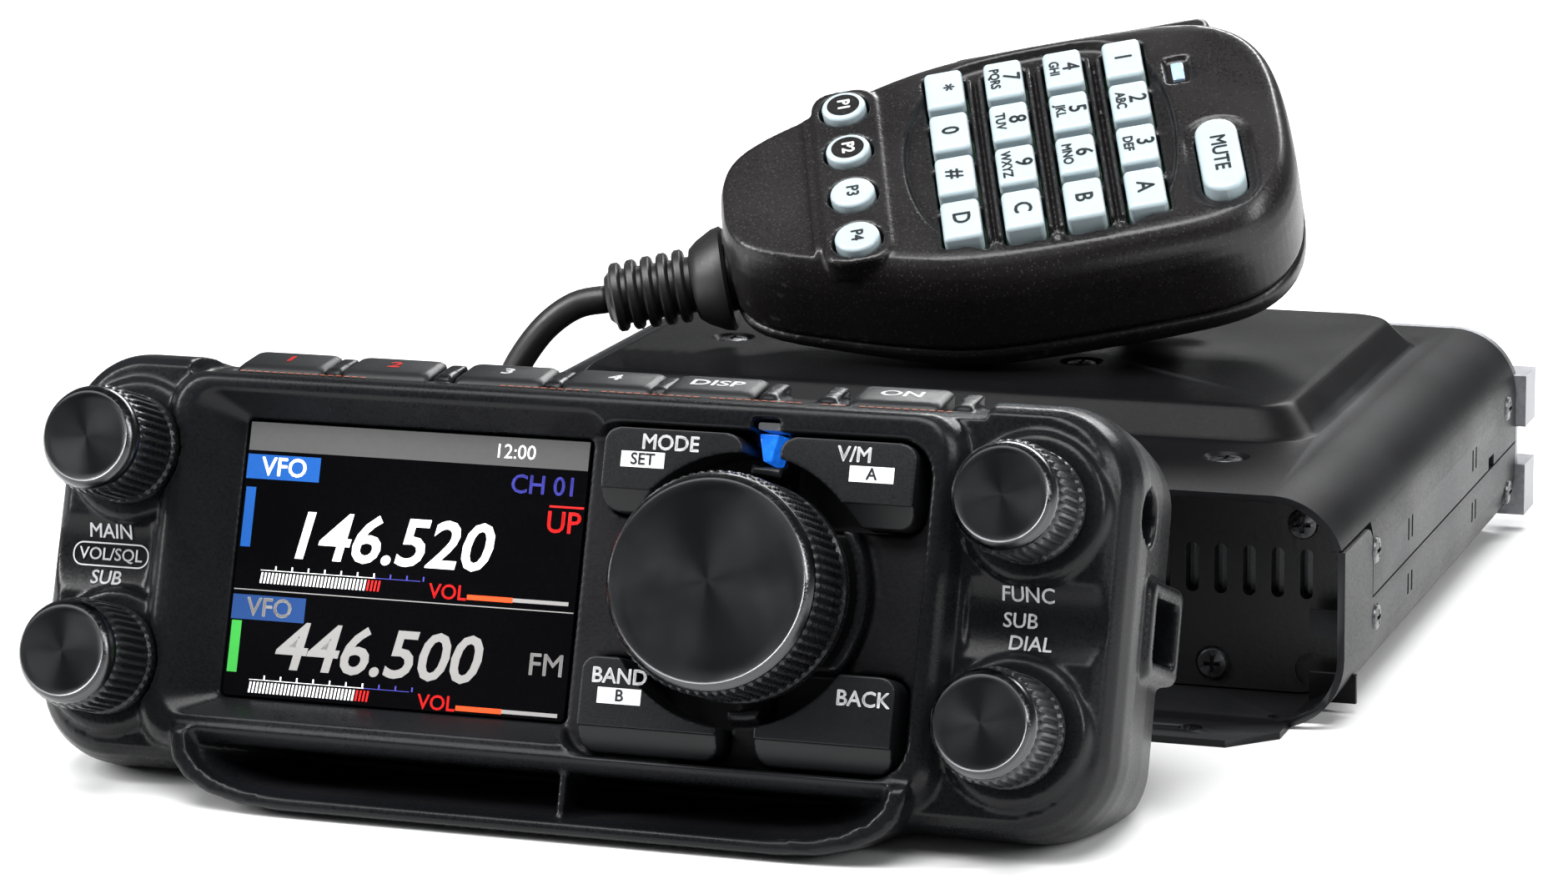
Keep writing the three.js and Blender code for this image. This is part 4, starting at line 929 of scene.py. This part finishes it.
talk_bar = stack(*[(round_rect(-12.3 + d, 27.2 - d, 23.6, y, r, 6), z) for d, y, r, z in (
    (0, 29.0, 1.4, -12), (0, 29.4, 1.4, -11.4), (0, 29.6, 1.4, -5.6), (0.3, 29.3, 1.4, -4.6),
    (0.9, 28.5, 1.2, -4))])
grooves = [("-", block(x - 0.35, x + 0.35, 29.2, 31, -11.2, -5)) for x in np.arange(-6, 22, 1.9)]
piece(softened(carve(talk_bar, grooves, MIC), 0.28, 2), "talk_bar_cap", "talk", MIC_BLACK,
      ["talk_bar"], 60)


def key_cap(box, r, height):
    """A white key with a softly rounded top edge."""
    x0, x1, y0, y1 = box
    made = raw(stack(*[(round_rect(x0 + d, x1 - d, y0 + d, y1 - d, max(r - d, 0.25), 5), z)
                       for d, z in ((0, -3.4), (0, height - 0.75), (0.12, height - 0.4),
                                    (0.34, height - 0.14), (0.62, height - 0.02),
                                    (0.95, height))]), MIC)
    made.data.materials.append(KEY_WHITE)
    return made


def mic_text(text, x, y, size, look=DARK_PRINT, z=1.34):
    """Letters that read along -y, upright towards the microphone's top end."""
    return lettering(text, placed(x, y, z, -90, "Z", MIC), size, look, bold=0.09)


def finish_key(parts, name):
    piece(merged(parts), "key_cap_" + name, "b_key_" + name, None,
          ["key_" + name], 40)


for row, names in enumerate(KEYS):
    for column, name in enumerate(names):
        x, y = key_at(row, column)
        glyph = {"star": "*", "hash": "#"}.get(name, name.upper())
        small = KEY_TEXT.get(name, "")
        parts = [key_cap((x - 2.85, x + 2.85, y - 4.35, y + 4.35), 0.8, 1.3),
                 mic_text(glyph, x + (1.1 if small else 0), y, 3.6)]
        if small:
            parts.append(mic_text(small, x - 1.35, y, 2.0))
        finish_key(parts, name)

# Round keys: the first two have a dark face with white letters.
P_KEY = [(0, -3.4), (3.3, -3.4), (3.3, 0.9), (3.15, 1.25), (2.85, 1.42), (2.6, 1.45), (0, 1.45)]
for column in range(4):
    y = key_at(0, column)[1]
    dark = column < 2
    cap = raw(turned(P_KEY, 40, P_KEY_X, y), MIC)
    cap.data.materials.append(KEY_WHITE)
    parts = [cap]
    if dark:
        disc = [(px, py, 1.47) for px, py in circle(P_KEY_X, y, 2.45, 40)]
        parts.append(patch(disc, MIC_BLACK, MIC))
    parts.append(mic_text(f"P{column + 1}", P_KEY_X, y, 2.5, WHITE_PRINT if dark else DARK_PRINT,
                          1.49))
    finish_key(parts, f"p{column + 1}")
finish_key([key_cap((21.7, 27.9, -19.1, -2.7), 3.0, 1.5),
            mic_text("MUTE", 24.8, -10.9, 3.1, DARK_PRINT, 1.54)], "mute")
lens = raw(stack(*[(round_rect(20.2 + d, 22 - d, 9.9 + d, 13.9 - d, 0.3, 4), z)
                   for d, z in ((0, -1.2), (0, -0.35), (0.2, -0.2))]), MIC)
LAMP_LENS = material("lamp_lens", (0.35, 0.48, 0.62), 0.15, grain=600.0, coat=0.8)
piece(lens, "mic_lamp", "microphone", LAMP_LENS)

# ---- Radio body -----------------------------------------------------------------------------
HALF, FRONT, REAR, SEAM_Z, WING_Z = 69.5, -60, 58, 14.5, 24.8
TOP_Z, DOME_Z = 32.0, 36.3
FAN_Z, FAN_BORE, FAN_HUB_Y = 16, 11.7, 53.5
ANTENNA_X, ANTENNA_Z = -46, 16
TOP_SCREWS = ((47.9, -38.7, TOP_Z), (-47.9, -38.7, TOP_Z), (16.7, -1.3, DOME_Z),
              (-38.8, 2.6, DOME_Z), (47.9, 53.5, TOP_Z), (-47.9, 53.5, TOP_Z))
SIDE_SCREWS = ((-41, 20.8), (-40.6, 11.3), (51.6, 21.3), (52.8, 7.9))
VENTS_Y = (-20, -17.6, 25, 27.4)
# Share of the dome's slope that is done at a height.
DOME_SLOPE = ((0, 31.9), (0.02, 32.0), (0.08, 32.12), (0.2, 32.6), (0.45, 33.75), (0.7, 34.95),
              (0.84, 35.6), (0.93, 35.98), (1.0, 36.15), (1.1, 36.26), (1.25, DOME_Z))


def body_section(d):
    """The body's outline from the front, drawn in by d."""
    return round_rect(-HALF + d, HALF - d, d, TOP_Z - d, 10 - d, 16)


def body_inside():
    """Everything inside the covers' sheet, which is 1 mm thick."""
    return ("-", along_y(body_section(1), FRONT - 1, REAR + 1))


def on_side(s, near, far):
    """The range of x between two distances from the middle, left (-1) or right (1) of it."""
    return sorted((s * near, s * far))


def vents(s, z0, z1):
    """Cuts the paired short slots along the parting line of one side."""
    return [("-", block(*on_side(s, 66, 75), y - 0.45, y + 0.45, z0, z1)) for y in VENTS_Y]


def dome(d):
    """The raised speaker dome: soft foot, straight slope, soft shoulder."""
    rings = [(round_rect(-57 + d, 57 - d, -29 + d, 49 - d, 8, 8), 28)]
    for s, z in DOME_SLOPE:
        k = d + 4.3 * s
        rings.append((round_rect(-57 + k, 57 - k, -29 + k, 49 - d - 4.3 * s * 0.9, 8 - s * 2, 8),
                      z - d))
    return stack(*rings)


# Upper cover, open at the front corners, where the lower cover's wings stand.
cover_steps = [("+", dome(0)), body_inside(), ("-", dome(1)),
               ("-", block(-80, 80, FRONT - 1, REAR + 1, -1, SEAM_Z + 0.3))]
for s in (-1, 1):
    cover_steps.append(("-", block(*on_side(s, 60, 75), FRONT - 1, -42.7, SEAM_Z - 1,
                                   WING_Z + 0.3)))
    cover_steps.append(("-", block(*on_side(s, 66, 75), 37, 41, SEAM_Z - 1, SEAM_Z + 2.0)))
    cover_steps += vents(s, 17.2, 20.4)
    cover_steps += [("-", along_x(circle(y, z, 1.5, 20), *on_side(s, 66, 75)))
                    for y, z in SIDE_SCREWS if z > SEAM_Z]
grille = [rod(-2 + x, 12 + y, 0.8, 33.5, 38, 14)
          for x, y in [((i + 0.5 * (j % 2)) * 3.0, j * 2.6)
                       for i in range(-6, 7) for j in range(-6, 7)]
          if math.hypot(x, y) < 15.8]
cover_steps.append(("-", joined(*grille)))
cover_steps += [("-", turned([(0, z - 0.7), (2.6, z - 0.7), (3.4, z + 0.1), (3.4, z + 1),
                              (0, z + 1)], 32, x, y)) for x, y, z in TOP_SCREWS]
cover = bevelled(carve(along_y(body_section(0), FRONT, REAR), cover_steps), 0.22, 40)
piece(cover, "upper_cover", "radio", SATIN_BLACK, ["top_cover"], 28)
for face in cover.data.polygons:
    face.use_smooth = abs(face.normal.z) < 0.9999

# Lower cover: wings at the front corners, vents, folded tabs, front tongue with its holes.
wing = [(FRONT, SEAM_Z - 2), (FRONT + 17, SEAM_Z - 2), (FRONT + 17, WING_Z - 3),
        (FRONT + 16.6, WING_Z - 1.6), (FRONT + 15.4, WING_Z - 0.5), (FRONT + 14, WING_Z),
        (FRONT, WING_Z)]
base_steps = [body_inside(), ("-", block(-80, 80, FRONT - 1, REAR + 1, SEAM_Z, 33))]
for s in (-1, 1):
    base_steps.append(("+", along_x(wing, *on_side(s, HALF - 1, HALF))))
    base_steps += vents(s, 9.4, 12.4)
base_steps += [("+", block(*on_side(s, 62.5, 69), -50.5, -49.7, z0, z1))
               for s in (-1, 1) for z0, z1 in ((1.5, 5.5), (10.5, 14.2))]
tongue = [(-62, FRONT + 2), (-62, -65), (-56, -71), (56, -71), (62, -65), (62, FRONT + 2)]
base_steps += [("+", prism(tongue, 0, 1)), ("-", rod(-50, -66, 1.6, -1, 2, 24)),
               ("-", rod(50, -66, 1.6, -1, 2, 24))]
base_steps += [("-", prism(round_rect(x - 3.4, x + 3.4, -58.6, -56.8, 0.8, 4), -1, 3))
               for x in (-62, 62)]
base = bevelled(carve(along_y(body_section(0), FRONT, REAR), base_steps), 0.2, 40)
piece(base, "lower_cover", "radio", SATIN_BLACK, ["bottom_cover"], 28)

for i, (x, y, z) in enumerate(TOP_SCREWS):
    screw(f"top_screw_{i + 1}", "radio", placed(x, y, z - 0.72), 2.3)
for s, name in ((-1, "left"), (1, "right")):
    for i, (y, z) in enumerate(SIDE_SCREWS):
        screw(f"side_screw_{name}_{i + 1}", "radio",
              placed(s * (HALF - 0.25), y, z, 90 * s, "Y"), 1.9)

# Cast frame: front recess wall with slots and openings, rear flange with feet and fins.
core_steps = [("+", along_y(body_section(0), REAR + 0.3, 60))]
core_steps += [("+", block(*on_side(s, 66, 71), 58.3, 66, z, z + 8))
               for s in (-1, 1) for z in (3, 17)]
core_steps += [("-", block(-65.5, 65.5, -43.5, 40, 5, 33)),
               ("-", block(-59.8, -25.8, -47, -43, 6, 19.3)),
               ("-", block(-12.8, 12.8, 39, 61, 3.2, 28.8)),
               ("-", block(35.7, 52.3, 39, 61, 6.7, 20.3)),
               ("-", along_y(circle(ANTENNA_X, ANTENNA_Z, 8.3, 48), 39, 61))]
core_steps += [("-", along_y(round_rect(x - 0.9, x + 0.9, 14.5, 21.5, 0.85, 5), -47, -43))
               for x in range(29, 62, 4)]
core_steps += [("-", block(x - 1.1, x + 1.1, 50, 61, 4, 28))
               for x in (-31, -27, -23, -19, 19, 23, 27, 31, 57, 61)]
core_steps += [("-", along_y(circle(x, 4.6, 2.5, 28), -47, -45.6)) for x in (48, -62, 62)]
fins = carve(block(27, 62.5, -43.4, -41.5, 13.5, 22.5),
             [("-", block(x - 0.5, x + 0.5, -44, -42.2, 13, 23)) for x in range(30, 62, 2)])
FIN_GREY = material("inner_fins", (0.14, 0.145, 0.15), 0.45, metallic=0.5)
piece(bevelled(fins, 0.1), "inner_fins", "radio", FIN_GREY)
core = bevelled(carve(along_y(body_section(1.3), -46, 60), core_steps), 0.3, 40)
FRAME_LOOK = two_tone("frame_front_and_rear", ALUMINIUM, "Y", -0.038, -0.039,
                      (0.007, 0.007, 0.0075, 1), metal=0.9)
piece(core, "die_cast_frame", "radio", FRAME_LOOK, ["chassis"], 28)
for i, (x, z) in enumerate(((48, 4.6), (20, 4.6), (-15, 4.6), (-15, 25), (60.5, 25))):
    screw(f"recess_screw_{i + 1}", "radio", placed(x, -46.05, z, 90), 2.1)
for i, (x, z) in enumerate(((-10.4, 5.6), (10.4, 5.6), (-10.4, 26.4), (10.4, 26.4))):
    screw(f"fan_screw_{i + 1}", "radio", placed(x, 59.75, z, -90), 1.5)

# Fan: square frame, motor mount with a cross of struts, and seven blades.
fan_steps = [("-", along_y(circle(0, FAN_Z, FAN_BORE, 64), 51.6, 61)),
             ("-", along_y(circle(0, FAN_Z, FAN_BORE - 0.3, 64), 49, 53)),
             ("+", along_y(circle(0, FAN_Z, 6, 48), 50, 51.6)),
             ("+", block(-0.9, 0.9, 50, 51.6, 4, 28)), ("+", block(-12, 12, 50, 51.6, 15.1, 16.9))]
fan = carve(along_y(round_rect(-12.5, 12.5, 3.5, 28.5, 1.6, 6), 50, 59.8), fan_steps)
piece(bevelled(fan, 0.2, 40), "fan_housing", "radio", PLUG, ["fan_frame"], 30)


def blade(number, count=7):
    """A fan blade: a thin twisted plate from the hub out to just inside the bore."""
    points, faces = [], []
    for k, r in enumerate(np.linspace(4.8, 11.1, 7)):
        for edge in (-1, 1):
            a = 2 * math.pi * number / count + 0.26 * k * 0.35 + edge * (0.36 - 0.012 * k)
            points += [(r * math.cos(a), r * math.sin(a), -3 + edge * (1.75 - 0.05 * k) + t)
                       for t in (-0.32, 0.32)]
    for q in range(0, 24, 4):
        faces += [(q, q + 2, q + 6, q + 4), (q + 1, q + 5, q + 7, q + 3),
                  (q, q + 4, q + 5, q + 1), (q + 2, q + 3, q + 7, q + 6)]
    return points, faces + [(0, 1, 3, 2), (24, 26, 27, 25)]


hub = turned([(0, -5.4), (5.2, -5.4), (5.4, -5.2), (5.4, -1.0), (5.0, -0.6), (0, -0.6)], 56)
rotor = carve(hub, [("+", blade(i)) for i in range(7)], placed(0, FAN_HUB_Y, FAN_Z, 90))
piece(rotor, "fan_blades", "fan", PLUG, ["fan_rotor"], 35)

# Antenna socket: flange, threaded barrel, hollow end with its centre pin.
profile = [(0, -14), (7.6, -14), (7.6, 0.3), (11.3, 0.3), (11.5, 0.5), (11.5, 2.1), (11.3, 2.3),
           (7.4, 2.3), (7.4, 3.2)]
for i in range(8):
    z = 3.6 + i * 1.59
    profile += [(7.35, z), (7.94, z + 0.62), (7.94, z + 0.85), (7.35, z + 1.45)]
profile += [(7.6, 17.4), (7.3, 18), (6.3, 18), (6.2, 17.8), (6.2, 8), (5.4, 8), (5.2, 14),
            (2.6, 14), (2.4, 8), (1.9, 8), (1.9, 14.6), (1.5, 15), (0, 15)]
antenna_place = placed(ANTENNA_X, 60, ANTENNA_Z, -90)
piece(raw(turned(profile, 72), antenna_place), "antenna_socket", "radio", NICKEL,
      ["antenna_connector"], 25)
for i in range(4):
    a = rad(45 + 90 * i)
    screw(f"antenna_screw_{i + 1}", "radio",
          placed(9.4 * math.cos(a), 9.4 * math.sin(a), 2.3, base=antenna_place), 1.1)

# Spring contacts in the two front sockets, and the pins of the power socket.
contact_side = [(-45.4, 16.9), (-45.1, 17.05), (-38, 14.2), (-38.2, 13.9)]
for name, middle in (("a", -52), ("b", -34)):
    for i in range(8):
        x = middle - 4.7 + i * 1.34
        piece(raw(along_x(contact_side, x - 0.22, x + 0.22)), f"contact_{name}_{i + 1}", "radio",
              GOLD)
for i, x in enumerate((41, 47)):
    pin = turned([(0, 0), (1.3, 0), (1.3, 10), (0.9, 10.8), (0, 11)], 24)
    piece(raw(pin, placed(x, 48.1, 13.5, -90)), f"power_pin_{i + 1}", "radio", GOLD)


def dress(name, look, width=0.0):
    """A CAD node whose shape is right: a better material, and softer edges."""
    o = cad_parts[name]
    o.data.materials.clear()
    o.data.materials.append(look)
    if width:
        edge_bevel(o, width, 40)


GREEN_BOARD = material("green_board", (0.01, 0.085, 0.03), 0.35, grain=1800.0, coat=0.4)
MAIN_BOARD = two_tone("board_and_sockets", GREEN_BOARD, "Z", 0.0086, 0.0087,
                      (0.012, 0.012, 0.013, 1))
dress("main_board", MAIN_BOARD, 0.12)
dress("panel_board", GREEN_BOARD)
dress("mic_board", GREEN_BOARD)
dress("front_speaker", SPEAKER_BLACK_AND_RECESS_SHADE, 0.3)
dress("body_speaker", SPEAKER_BLACK_AND_RECESS_SHADE)
dress("tilt_bracket", SATIN_BLACK, 0.25)
for i, x in enumerate((-31.93, -3.93)):
    screw(f"bracket_screw_{i + 1}", "radio", placed(x, -66, 2.85), 2.4)

# ---- Floor, light ---------------------------------------------------------------------------
FLOOR_REACH = 6000
floor = raw(([(x * FLOOR_REACH, y * FLOOR_REACH, 0) for x, y in ((-1, -1), (1, -1), (1, 1), (-1, 1))],
             [(0, 1, 2, 3)]), BODY, "floor")
floor.data.materials.append(material("pale_floor", (0.86, 0.86, 0.86), 0.55, vary=0.01, depth=0.001))


def area_light(name, place, target, size, power):
    """A rectangular lamp; places and sizes in metres, power in watts."""
    light = bpy.data.objects.new(name, bpy.data.lights.new(name, "AREA"))
    light.data.shape = "RECTANGLE"
    light.data.size, light.data.size_y = size
    light.data.energy = power
    light.location = place
    light.rotation_euler = (Vector(target) - Vector(place)).to_track_quat("-Z", "Y").to_euler()
    bpy.context.scene.collection.objects.link(light)


area_light("overhead", (0.0, -0.55, 1.5), (0, 0, 0), (1.3, 1.0), 40)
area_light("left_strip", (-0.75, -0.45, 0.55), (-0.05, -0.1, 0.03), (0.12, 0.7), 12)
area_light("right_strip", (0.85, -0.2, 0.5), (0.05, -0.08, 0.03), (0.12, 0.6), 5)
area_light("rear_strip", (0.1, 0.75, 0.6), (0, 0, 0.03), (0.8, 0.16), 8)
world = bpy.data.worlds.new("studio")
world.use_nodes = True
world.node_tree.nodes["Background"].inputs["Color"].default_value = (0.9, 0.92, 0.95, 1)
world.node_tree.nodes["Background"].inputs["Strength"].default_value = 0.14
bpy.context.scene.world = world
bpy.context.scene.view_settings.view_transform = "Standard"
